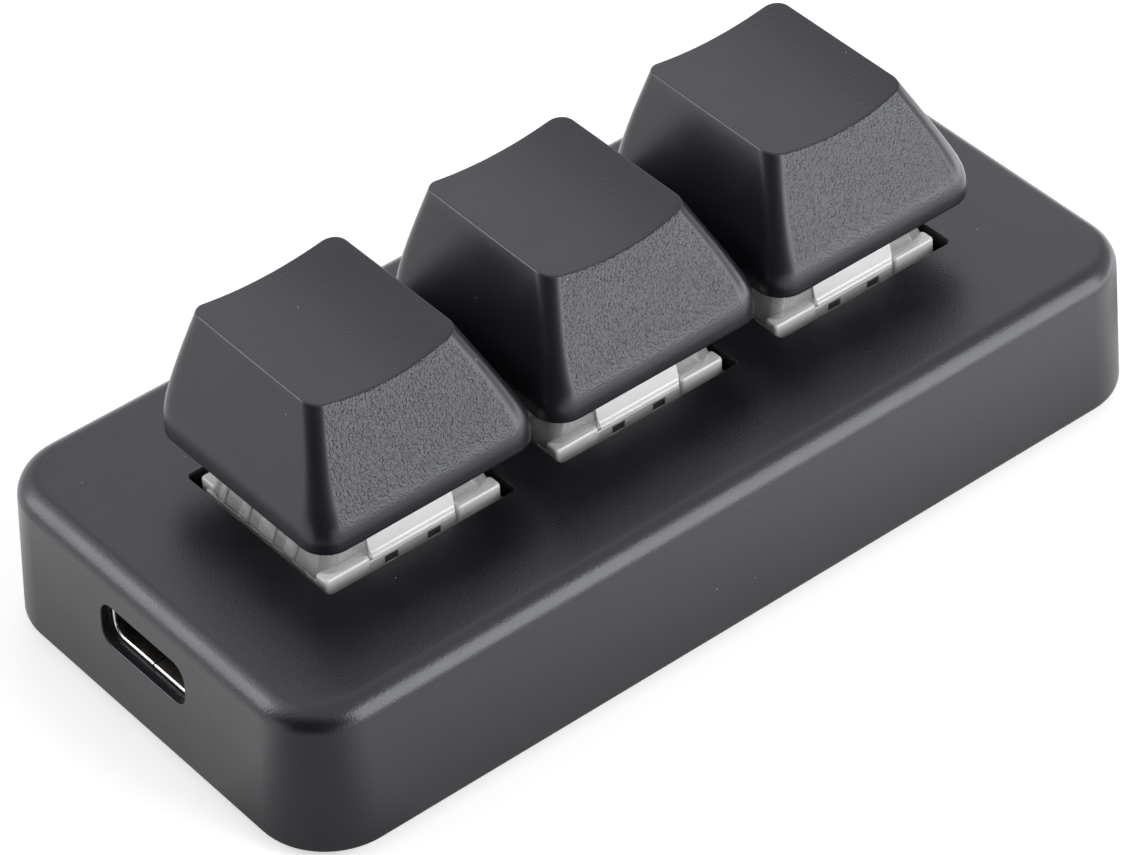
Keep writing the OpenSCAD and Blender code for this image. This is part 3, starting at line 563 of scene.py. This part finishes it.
board_green = moulded("board_green", dark=(0.010, 0.060, 0.028), light=(0.016, 0.085, 0.040),
                      rough=0.30, size=0.35 * MM, relief=0.003 * MM)
chip_black = moulded("chip_black", dark=(0.012, 0.012, 0.013), light=(0.020, 0.020, 0.021),
                     rough=0.50, size=0.08 * MM, relief=0.002 * MM)
capacitor_tan = moulded("capacitor_tan", dark=(0.34, 0.22, 0.11), light=(0.42, 0.29, 0.16),
                        rough=0.40, size=0.08 * MM, relief=0.001 * MM)
resistor_black = moulded("resistor_black", dark=(0.012, 0.012, 0.015), light=(0.022, 0.022, 0.026),
                         rough=0.22, size=0.10 * MM, relief=0.001 * MM)
led_milk = moulded("led_milk", dark=(0.74, 0.72, 0.56), light=(0.82, 0.80, 0.66),
                   rough=0.22, size=0.20 * MM, relief=0.001 * MM)
bright_screw = metal("bright_screw", dark=(0.48, 0.48, 0.49), light=(0.60, 0.60, 0.61),
                     rough=0.28, size=0.10 * MM, relief=0.002 * MM)
dress(board_green, "circuit_board")
dress(chip_black, "controller_chip")
dress(capacitor_tan, "board_capacitors")
dress(resistor_black, "board_resistors")
dress(led_milk, "key_leds")
dress(bright_screw, "board_screws")


# Switch plate

# A black moulded plate against the inside of the top wall. Its three square holes lie under the
# case's openings, and the switches snap into them.

plate_black = moulded("plate_black", dark=(0.012, 0.012, 0.013), light=(0.018, 0.018, 0.019),
                      rough=0.50, size=0.25 * MM, relief=0.004 * MM)
dress(plate_black, "switch_plate")


# Port

# A bright steel shell folded from sheet, its seam below, stands on the board behind its mouth in
# the case. Inside it a black tongue carries two rows of gilt contacts.

sheet = 0.3
shell_front = -35.525
shell_length = 7.3
shell_steps = (10, 24)
seam_half = 0.07


def split_below(loop):
    """The loop turned to start at its lowest middle point and opened there by the seam."""
    lowest = np.argmin(np.hypot(loop[:, 0], loop[:, 1] + port_half[1]))
    loop = np.roll(loop, -lowest, 0)
    loop = np.concatenate([loop, loop[:1]])
    loop[0, 0] += seam_half
    loop[-1, 0] -= seam_half
    return loop


def sheet_rings():
    """Rings of the folded sheet, each the sheet's section with round front and back lips at one
    place of the loop: share 0 is the outer face and 1 the inner one."""
    lip = np.linspace(-np.pi / 2, np.pi / 2, 7)
    share = np.concatenate([1 + np.sin(lip), 1 - np.sin(lip)]) / 2
    bulge = sheet / 2 * (1 - np.cos(lip))
    along = np.concatenate([shell_front + bulge, shell_front + shell_length - bulge])
    outer = split_below(rounded_loop(*port_half, port_corner, *shell_steps))
    inner = split_below(rounded_loop(*(port_half - sheet), port_corner - sheet, *shell_steps))
    spread = outer[:, None] + (inner - outer)[:, None] * share[None, :, None]
    along = np.broadcast_to(along[None, :, None], spread.shape[:2] + (1,))
    return np.concatenate([along, spread + port_middle], -1)


leg_places = (-33.525, -29.825)
leg_corner = 0.06
leg_outline = ((0.25, 2.8), (0.5, 3.3), (0.5, 7.2), (0.46, 7.4))


def leg(x, side):
    """Flat leg of the shell down through the board, narrowed at its end. Each row of its outline is
    half its width at a height."""
    y = port_middle[0] + side * (port_half[0] - sheet / 2)
    return skin([level(rounded_loop(half, sheet / 2, leg_corner, 3, 2) + [x, y], z)
                 for half, z in leg_outline])


def face_middles(thing):
    """Middle of each face of a piece, in millimetres."""
    middle = np.empty(3 * len(thing.data.polygons))
    thing.data.polygons.foreach_get("center", middle)
    return middle.reshape(-1, 3) / MM


legs = [leg(x, side) for x in leg_places for side in (-1, 1)]
port_shell = piece("port_metal_shell", *join(skin(sheet_rings()), *legs))
shell_steel = metal("shell_steel", dark=(0.50, 0.49, 0.47), light=(0.62, 0.61, 0.59),
                    rough=0.24, size=0.10 * MM, relief=0.0015 * MM)
# Darker steel for the shell's inside: painted shade, as it lies in shadow.
shell_painted_shade = metal("shell_painted_shade", dark=(0.10, 0.09, 0.075), light=(0.15, 0.13, 0.11),
                     rough=0.34, size=0.10 * MM, relief=0.0015 * MM)
port_shell.data.materials.append(shell_steel)
port_shell.data.materials.append(shell_painted_shade)

# Faces on the inner side of the sheet, behind the bright lip, get a darker steel: painted shade, as the
# shell's inside lies in shadow. off_core is a face's distance from the rectangle between the middles of
# the corners' arcs, which is the corner's radius on the sheet's outer face.
middle = face_middles(port_shell)
reach = np.abs(middle[:, 1:] - port_middle) - (port_half - port_corner)
off_core = np.linalg.norm(np.maximum(reach, 0), axis=1) + np.minimum(reach.max(1), 0)
bright_lip = 0.2
within = (off_core < port_corner - 0.8 * sheet) & (middle[:, 0] > shell_front + bright_lip)
port_shell.data.polygons.foreach_set("material_index", within.astype(np.int32))
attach(port_shell, "case")
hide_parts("port_shell")

tongue_black = moulded("tongue_black", dark=(0.008, 0.007, 0.006), light=(0.014, 0.012, 0.010),
                       rough=0.35, size=0.12 * MM, relief=0.001 * MM)
gilt = metal("gilt", dark=(0.52, 0.34, 0.10), light=(0.66, 0.45, 0.16),
             rough=0.25, size=0.08 * MM, relief=0.001 * MM)
dress(tongue_black, "port_insulator")
dress(gilt, "port_contacts")


# Lower housings

# Milky moulded box of each switch: a flange rests on the plate, two noses snap under it, a pole
# goes down into the board, and a guide inside carries the return spring.

flange_half = 7.55
flange_low = 10.0
flange_top = 10.7
flange_corner = 0.9
flange_edge = 0.12
box_half = 6.9
box_corner = 0.5
cavity_half = 5.9
cavity_corner = 0.4
floor_top = 5.9
pole_radius, pole_end_z = 2.0, 2.3
guide_radius, guide_top = 1.6, 8.4
bore_radius, bore_end_z = 1.05, 2.8
small_edge = 0.1


def milky_level(half, corner, z):
    """Square ring of the lower housing with rounded corners."""
    return level(rounded_loop(half, half, corner, 10, 6), z)


def round_level(radius, z):
    """Round ring of the lower housing."""
    return milky_level(radius, radius, z)


def milky_rings():
    """Stack of rings from the pole's end up the outside, over the flange and down to the bore."""
    pole = [round_level(pole_radius - small_edge, pole_end_z),
            round_level(pole_radius, pole_end_z + small_edge), round_level(pole_radius, board_top)]
    box = [milky_level(box_half - flange_edge, box_corner, board_top),
           milky_level(box_half, box_corner, board_top + flange_edge),
           milky_level(box_half, box_corner, flange_low)]
    flange = [milky_level(flange_half - small_edge / 2, flange_corner, flange_low),
              milky_level(flange_half, flange_corner, flange_low + small_edge / 2)]
    flange += [milky_level(flange_half - flange_edge * (1 - np.cos(a)), flange_corner,
                           flange_top - flange_edge * (1 - np.sin(a))) for a in quarter]
    cavity = [milky_level(cavity_half, cavity_corner, z) for z in (flange_top, floor_top)]
    guide = [round_level(guide_radius, floor_top), round_level(guide_radius, guide_top - small_edge),
             round_level(guide_radius - small_edge, guide_top), round_level(bore_radius, guide_top),
             round_level(bore_radius, bore_end_z)]
    return pole + box + flange + cavity + guide


nose_low, nose_high = 6.45, 8.45
nose_out, nose_sink = 0.3, 0.05
nose_half = 2.0


def nose(side):
    """Snap nose: a wedge of three-sided section, 4 mm wide, against the box below the plate."""
    inner, outer = side * (box_half - nose_sink), side * (box_half + nose_out)
    section = np.array([[inner, nose_high], [outer, nose_high], [inner, nose_low]])
    if side > 0:
        section = section[::-1]
    return skin([np.column_stack([np.full(3, x), section]) for x in (nose_half, -nose_half)])


slot_ends = (4.0, 7.0)
slot_corner = 0.05


def floor_slot(x, y, half_x, half_y):
    """Upright box that cuts a slot in the floor for a pin or for the light."""
    return skin([level(rounded_loop(half_x, half_y, slot_corner, 2, 2) + [x, y], z) for z in slot_ends])


milky = moulded("milky_plastic", dark=(0.60, 0.62, 0.60), light=(0.70, 0.71, 0.69),
                rough=0.32, size=0.30 * MM, relief=0.0015 * MM)
pin_slots = ((-3.95, 2.54, 0.3, 0.65), (2.54, 5.08, 0.65, 0.3))
light_slot = (0, -4.6, 2.5, 1.2)
slots = join(*[floor_slot(*place) for place in (*pin_slots, light_slot)])
lower_points, lower_faces = join(skin(milky_rings()), nose(-1), nose(1))
for key, x in keys.items():
    lower = piece(f"{key}_milky_housing", lower_points + [x, 0, 0], lower_faces)
    carve(lower, slots[0] + [x, 0, 0], slots[1])
    lower.data.materials.append(milky)
    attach(lower, "case")
    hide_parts(f"{key}_lower_housing")


# Contacts, stems and return springs

# Thin bronze contacts stand in the lower housing. The red stem slides in the housings on a coil
# spring of steel wire, which the stem's pocket presses down on the housing's floor.

bronze = metal("contact_bronze", dark=(0.48, 0.29, 0.13), light=(0.60, 0.39, 0.19),
               rough=0.30, size=0.10 * MM, relief=0.001 * MM)
stem_red = moulded("stem_red", dark=(0.42, 0.022, 0.016), light=(0.50, 0.032, 0.022),
                   rough=0.30, size=0.20 * MM, relief=0.002 * MM)
spring_steel = metal("spring_steel", dark=(0.55, 0.55, 0.56), light=(0.66, 0.66, 0.67),
                     rough=0.20, size=0.06 * MM, relief=0.0008 * MM)
dress(bronze, *[f"{key}_{part}_contact" for key in keys for part in ("moving", "fixed")])
dress(stem_red, *[f"{key}_stem" for key in keys])

spring_radius = 1.95
wire_radius = 0.15
spring_turns = 9
spring_height = 7.5
spring_low = floor_top + wire_radius
spring_rise = spring_height - 2 * wire_radius
rings_per_turn = 36
wire_steps = 10


def coil_rings(x):
    """Rings of the wire along a screw line: radius and rise are steady, and each ring of ten
    points stands square to the line."""
    turn = np.linspace(0, 2 * np.pi * spring_turns, rings_per_turn * spring_turns + 1)
    out = np.stack([np.cos(turn), np.sin(turn), 0 * turn], -1)
    pitch = spring_rise / (2 * np.pi * spring_turns)
    middle = out * spring_radius
    middle[:, 2] = spring_low + pitch * turn
    forward = np.stack([-spring_radius * np.sin(turn), spring_radius * np.cos(turn), 0 * turn + pitch], -1)
    forward /= np.linalg.norm(forward, axis=1, keepdims=True)
    upward = np.cross(forward, out)
    ring = np.linspace(0, 2 * np.pi, wire_steps, endpoint=False)
    rings = (middle[:, None] + wire_radius * (np.cos(ring)[None, :, None] * out[:, None]
                                              - np.sin(ring)[None, :, None] * upward[:, None]))
    return rings + [x, 0, 0]


for key, x in keys.items():
    spring = piece(f"{key}_coil_spring", *skin(coil_rings(x)))
    spring.data.materials.append(spring_steel)
    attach(spring, "case")
    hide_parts(f"{key}_return_spring")
    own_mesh(spring)


# Upper housings

# Clear moulded hood of each switch, clipped on the flange by four latches: a square foot with
# frosted corner posts, walls that lean in to the roof, and that flare out at the foot on the left
# and right, the stem's mouth in the roof, and a bright light window in front.

hood_foot = np.array([7.0, 6.4])
hood_roof = np.array([5.4, 5.3])
hood_lean_z = 11.7
hood_top = 16.6
hood_flare = 0.42
flare_end_z = 12.6
hood_steps = (10, 8)
mouth_half = np.array([3.7, 3.1])
mouth_corner = 0.1
mouth_low = 15.6

# Rows of height, inset from the outside and corner radius: the inside downwards, then the foot,
# the wall and the roof's edge upwards.
hood_profile = (
    (mouth_low, 1.0, 0.4), (hood_lean_z, 1.0, 0.4), (flange_top, 1.0, 0.4),
    (flange_top, 0.03, 0.2), (flange_top + 0.04, 0, 0.22), (11.58, 0, 0.22),
    (11.64, 0.05, 0.25), (11.66, 0.12, 1.1),
    (11.85, 0.02, 1.1), (13.5, 0.02, 1.0), (15.3, 0.02, 0.9), (16.35, 0.02, 0.8),
    (16.5, 0.07, 0.78), (hood_top, 0.2, 0.7))


def hood_half(z):
    """Half width and half depth of the hood at height z: both shrink evenly to the roof, and the
    left and right sides flare out at the foot."""
    share = max(0.0, (z - hood_lean_z) / (hood_top - hood_lean_z))
    flare = hood_flare * max(0.0, (flare_end_z - z) / (flare_end_z - flange_top))
    return hood_foot + (hood_roof - hood_foot) * share + [flare, 0]


def hood_level(z, inset, radius):
    """Ring of the hood's wall at height z, the given inset further in."""
    return level(rounded_loop(*(hood_half(z) - inset), radius, *hood_steps), z)


def mouth_level(grow, z):
    """Ring of the stem's mouth, grown all round."""
    return level(rounded_loop(*(mouth_half + grow), mouth_corner + grow, *hood_steps), z)


bar_sink = 0.5


def wall_bar(low_z, high_z, half, edge, proud):
    """Bar on the leaning front wall, from low_z to high_z, sunk in the wall and bevelled in front."""
    rings = []
    for out, less in ((-bar_sink, 0.0), (proud - edge, 0.0), (proud - edge / 3, edge / 3), (proud, edge)):
        low, high, side = low_z + less, high_z - less, half - less
        low_y, high_y = -hood_half(low)[1] - out, -hood_half(high)[1] - out
        rings.append([[side, low_y, low], [side, high_y, high], [-side, high_y, high], [-side, low_y, low]])
    return skin(rings)


rib_low, rib_high = 11.75, 15.4
rib_profile = ((-0.3, 0.0), (0.03, 0.0), (0.06, 0.08))
rib_spans = ((-3.2, -2.0), (-0.9, 0.7), (1.8, 2.8), (4.3, 5.0))


def side_rib(low_y, high_y, side):
    """Shallow upright rib on a side wall of the hood, between two distances from its middle. Each row
    of its profile is how far it stands out and how much it is drawn in there."""
    rings = []
    for out, less in rib_profile:
        corners = [(low_y + less, rib_low), (high_y - less, rib_low), (high_y - less, rib_high),
                   (low_y + less, rib_high)]
        ring = np.array([[side * (hood_half(z)[0] + out), y, z] for y, z in corners])
        rings.append(ring if side > 0 else ring[::-1])
    return skin(rings)


# Bars of the light window: lower and upper end, half width, bevel, and how far each stands out. They
# are the pane, the two bright lines below it, and the ledge between these.
window_bars = ((12.45, 14.8, 3.5, 0.1, 0.22), (12.2, 12.5, 3.45, 0.12, 0.25),
               (11.85, 12.15, 3.4, 0.12, 0.25), (11.9, 12.6, 3.5, 0.05, 0.1))
window = join(*[wall_bar(*bar) for bar in window_bars])
ribs = join(*[side_rib(*span, side) for side in (-1, 1) for span in rib_spans])

# Posts in the back and the front corners: middle, half width and depth, and top. Each row of their
# profile is an inset with the share of the height at which the rounded top has reached it.
post_corner = 0.25
post_pairs = ((6.3, 6.35, 0.7, 0.8, 12.17), (5.38, -6.02, 1.82, 0.6, 12.2))
post_profile = ((0.0, 0.0), (0.0, 0.85), (0.03, 0.94), (0.1, 0.99), (0.2, 1.0))


def corner_post(x, y, half_x, half_y, top_z):
    """Upright post on the flange with rounded corners and a rounded top."""
    return skin([level(rounded_loop(half_x - inset, half_y - inset, post_corner, 5, 2) + [x, y],
                       flange_top + (top_z - flange_top) * share) for inset, share in post_profile])


posts = join(*[corner_post(side * x, *rest) for x, *rest in post_pairs for side in (-1, 1)])

latch_x = 1.75
latch_half = 0.55


def latch_blocks(y, deep, corner, profile):
    """Upright blocks at the two latches in front and the two behind. Each row of their profile is an
    inset with its height."""
    return join(*[skin([level(rounded_loop(latch_half - inset, deep - inset, corner, 3, 2)
                              + [x, side * y], z) for inset, z in profile])
                  for x in (-latch_x, latch_x) for side in (-1, 1)])


# The slots through the foot, and a dark grey block in each: painted shade where one looks into the slot.
latch_slots = latch_blocks(y=6.4, deep=0.75, corner=0.08, profile=((0, 10.5), (0, 11.4)))
painted_slot_shades = latch_blocks(y=6.05, deep=0.2, corner=0.05,
                       profile=((0, flange_top), (0, 11.28), (0.05, 11.33)))


def clear_plastic(name, colour, rough, through):
    """Clear moulded plastic: light goes through it in part, and the rest scatters in its colour,
    which mottling darkens by up to a tenth."""
    stuff, tree, surface = grained(name, 0.5 * MM, mottle_scale=500)
    tint = mixed(tree, surface["Mottle"], [0.90 * light for light in colour], colour)
    rough = ramp(tree, surface["Mottle"], (0, 1, rough - 0.04, rough + 0.08), even=True)
    bump = add(tree, "ShaderNodeBump", {"Height": surface["Grain"], "Distance": 0.004 * MM})
    shader = add(tree, "ShaderNodeBsdfPrincipled", {"Base Color": tint, "Normal": bump.outputs[0],
                                                    "Roughness": rough, "IOR": 1.5,
                                                    "Transmission Weight": through})
    add(tree, "ShaderNodeOutputMaterial", {"Surface": shader.outputs[0]})
    return stuff


clear = clear_plastic("clear_plastic", (0.90, 0.90, 0.885), rough=0.12, through=0.74)
frosted = clear_plastic("frosted_plastic", (0.95, 0.955, 0.95), rough=0.22, through=0.28)
window_white = clear_plastic("window_plastic", (0.86, 0.865, 0.87), rough=0.20, through=0.08)
# Dark grey of the blocks in the latch slots: painted shade, not the housing's own colour.
painted_slot_shade_grey = moulded("painted_slot_shade_grey", dark=(0.055, 0.055, 0.056), light=(0.080, 0.080, 0.081),
                     rough=0.45, size=0.20 * MM, relief=0.002 * MM)
hood_rings = [mouth_level(0, mouth_low), *[hood_level(*row) for row in hood_profile],
              mouth_level(small_edge, hood_top), mouth_level(0, hood_top - small_edge)]
hood_points, hood_faces = skin(hood_rings, looped=True)
frosted_top, frosted_y = 11.68, 5.0
trims = {"light_window": (window, window_white, "clear_plastic"),
         "side_ribs": (ribs, clear, "clear_plastic"),
         "corner_posts": (posts, frosted, "clear_plastic"),
         "latch_painted_slot_shades": (painted_slot_shades, painted_slot_shade_grey, "plate_plastic")}
for key, x in keys.items():
    hood = piece(f"{key}_clear_hood", hood_points + [x, 0, 0], hood_faces)
    carve(hood, latch_slots[0] + [x, 0, 0], latch_slots[1])
    hood.data.materials.append(clear)
    hood.data.materials.append(frosted)
    middle = face_middles(hood)
    at_foot = (middle[:, 2] < frosted_top) & (np.abs(middle[:, 1]) > frosted_y)
    hood.data.polygons.foreach_set("material_index", at_foot.astype(np.int32))
    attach(hood, "case")
    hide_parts(f"{key}_upper_housing")
    for name, ((points, faces), stuff, slot) in trims.items():
        trim = piece(f"{key}_{name}", points + [x, 0, 0], faces)
        trim.data.materials.append(stuff)
        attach(trim, "case")


# Key caps

# Hollow black caps moulded in one: an upright skirt, four sides that lean in, most at the front,
# which is pebbled, and a top hollowed from side to side. A socket inside, with a rib through it, is
# pressed on the stem's cross.

cap_side = 9.05
cap_rim_z = 16.5
cap_high = 8.6
cap_skirt = 1.7
skirt_blend = 1.1
cap_top_half = 5.95
cap_front = 4.9
cap_back = 8.1
rim_corner = 2.1
top_corner = 1.2
least_corner = 0.3
dish_depth = 0.7
dish_rise = 0.1
cap_wall = 1.3
roof_thick = 1.4
edge_round = 0.13
dish_z = cap_rim_z + cap_high - dish_depth
roof_z = dish_z - roof_thick
dish_middle = np.array([0, (cap_back - cap_front) / 2])

# Every ring of the cap has one point for each point of this loop.
cap_arc = 12
cap_run = 28
unit_corner = 0.5
unit_loop = rounded_loop(1, 1, unit_corner, cap_arc, cap_run)
tiny = 1e-9


def lean_share(z):
    """How far the sides have leaned in at height z over the rim: 0 on the skirt, 1 at the top. The
    square of the height bends softly from the skirt into the straight side."""
    past = np.clip(z - cap_skirt, -skirt_blend, None)
    soft = np.where(past < skirt_blend, (past + skirt_blend) ** 2 / (4 * skirt_blend), past)
    return soft / (cap_high - cap_skirt)


def cap_loop(z, grow=0.0):
    """Outline of the cap at heights z over the rim, one z for each point round it.

    Each point of a rounded rectangle moves with its own z: width, depth and corner shrink by the
    lean share from the rim's size to the top's, and all is grown by grow."""
    z = np.broadcast_to(np.asarray(z, float), (len(unit_loop),))
    share = lean_share(z)
    half_x = cap_side + (cap_top_half - cap_side) * share + grow
    front = cap_side + (cap_front - cap_side) * share + grow
    back = cap_side + (cap_back - cap_side) * share + grow
    corner = top_corner + (rim_corner - top_corner) * np.clip(1 - share, 0, 1) ** 3 + grow
    corner = np.maximum(least_corner, corner)[:, None]
    half = np.column_stack([half_x, (front + back) / 2])
    straight = np.clip(unit_loop / (1 - unit_corner), -1, 1)
    bend = np.clip((np.abs(unit_loop) - (1 - unit_corner)) / unit_corner, 0, 1)
    loop = straight * (half - corner) + np.sign(np.round(unit_loop, 9)) * corner * bend
    loop[:, 1] += (back - front) / 2
    return loop


def cap_level(z, grow=0.0):
    """Ring of the cap's outline, lifted to its heights z over the rim."""
    return np.column_stack([cap_loop(z, grow), np.broadcast_to(z, (len(unit_loop),)) + cap_rim_z])


def dish_level(loop):
    """Loop lifted to the hollow top, whose lowest line runs along y and climbs towards the back, and
    whose sides rise with the square of x."""
    x, y = loop.T
    climb = dish_rise * (y + cap_front) / (cap_back + cap_front)
    return np.column_stack([loop, dish_z + climb + dish_depth * (x / cap_top_half) ** 2])


def top_edge():
    """Height over the rim at which each side meets the dish, found by halving the span 30 times."""
    low = np.full(len(unit_loop), cap_skirt)
    high = np.full_like(low, cap_high + 1)
    for _ in range(30):
        middle = (low + high) / 2
        above = middle + cap_rim_z > dish_level(cap_loop(middle))[:, 2]
        high = np.where(above, middle, high)
        low = np.where(above, low, middle)
    return (low + high) / 2


# How pebbled each region is: 1 on the front, and much less elsewhere.
plain_side = 0.04
plain_inside = 0.1
plain_rim = 0.15
plain_top = 0.2

# The socket: its round outside, and the blind bore, whose two crossing bars fit the stem.
socket_radius = 2.75
socket_low, bore_top = 16.9, 20.6
bar_long, bar_thin = 2.07, 0.62
pinhole = 0.02


def socket_rows():
    """Rings from the bore's blind end down the cross, round the socket's foot and up its outside,
    each with its pebble. A ray from the middle leaves the cross at the end of the longer bar."""
    start = cap_loop(0.0)
    angle = np.arctan2(start[:, 1], start[:, 0])
    ray = np.column_stack([np.cos(angle), np.sin(angle)])
    along, across = np.maximum(np.abs(ray), tiny).T
    reach = np.maximum(np.minimum(bar_long / along, bar_thin / across),
                       np.minimum(bar_thin / along, bar_long / across))
    cross = ray * reach[:, None]
    rows = [level(cross * pinhole, bore_top), level(cross, bore_top), level(cross, socket_low),
            level(ray * (socket_radius - small_edge), socket_low),
            level(ray * socket_radius, socket_low + small_edge)]
    return [(ring, 0) for ring in rows] + [(level(ray * socket_radius, roof_z), plain_inside)]


roof_drawn_in = 0.04
roof_round = 0.25
rim_round = 0.12


def inside_rows():
    """Rings from the roof's edge down the inside of the walls to the rim, with their pebble."""
    roof = cap_loop(roof_z - cap_rim_z, -cap_wall)
    rows = [level(roof - (roof - dish_middle * 0.5) * roof_drawn_in, roof_z)]
    rows += [cap_level(z, -cap_wall) for z in np.linspace(roof_z - cap_rim_z - roof_round, rim_round, 8)]
    rows += [cap_level(0, -cap_wall + small_edge)]
    return [(ring, plain_inside) for ring in rows]


rim_profile = ((0, -rim_round), (0.035, -0.035), (rim_round, 0))
skirt_start = 0.3
bend_share = 0.18
pebble_start, pebble_fade = 0.10, 0.15


def outside_rows():
    """Rings from the rim up the skirt and the sides, round the top's edge and in over the dish, with
    their pebble, which grows on the front from the skirt up and fades on the edge.

    The edge is a curve with three control points: below it, on it, and past it on the dish."""
    rows = [(cap_level(z, grow), plain_rim) for z, grow in rim_profile]
    side_low = cap_skirt - skirt_blend
    rows += [(cap_level(z), plain_top) for z in np.linspace(skirt_start, side_low, 3)]
    on_front = (unit_loop[:, 1] < -1 + tiny) & (np.abs(unit_loop[:, 0]) < 1 - unit_corner + tiny)
    front_side = np.where(on_front, 1.0, plain_side)
    edge_z = top_edge()
    for share in (*np.linspace(0, bend_share, 9)[1:], *np.linspace(bend_share, 1, 12)[1:]):
        pebbled = np.clip((share - pebble_start) / pebble_fade, 0, 1)
        rows.append((cap_level(side_low + (edge_z - edge_round - side_low) * share),
                     plain_side + (front_side - plain_side) * pebbled))
    below, edge = cap_level(edge_z - edge_round), cap_level(edge_z)
    inward = dish_middle - edge[:, :2]
    inward /= np.linalg.norm(inward, axis=1, keepdims=True)
    on_dish = dish_level(edge[:, :2] + inward * edge_round)
    for t in np.linspace(0, 1, 7)[1:]:
        rows.append(((1 - t) ** 2 * below + 2 * t * (1 - t) * edge + t ** 2 * on_dish,
                     front_side * (1 - t) + plain_top * t))
    for share in (*np.linspace(1, 0, 22)[1:-1], pinhole / 2):
        rows.append((dish_level(dish_middle + (on_dish[:, :2] - dish_middle) * share), plain_top))
    return rows


cap_black = moulded("cap_black", dark=(0.0083, 0.0088, 0.0115), light=(0.0113, 0.0118, 0.0150),
                    rough=0.30, size=0.14 * MM, relief=0.10 * MM, dust=0.8, specular=0.45, pebble="pebble")
rows = socket_rows() + inside_rows() + outside_rows()
rib_half, rib_corner = 0.5, 0.08
rib_rows = ((5.9, 21.0), (6.0, 21.1), (6.0, roof_z + 0.1))
rib = skin([level(rounded_loop(half, rib_half, rib_corner, 3, 2), z) for half, z in rib_rows])
cap_points, cap_faces = join(skin([ring for ring, _ in rows]), rib)
pebble = np.concatenate([np.broadcast_to(amount, (len(ring),)) for ring, amount in rows]
                        + [np.full(len(rib[0]), plain_inside)])
for key, x in keys.items():
    cap = piece(f"{key}_cap", cap_points + [x, 0, 0], cap_faces, sharp=40)
    cap.data.attributes.new("pebble", "FLOAT", "POINT").data.foreach_set("value", pebble.astype(np.float32))
    cap.data.materials.append(cap_black)
    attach(cap, f"{key}_key")
    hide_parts(f"{key}_keycap")
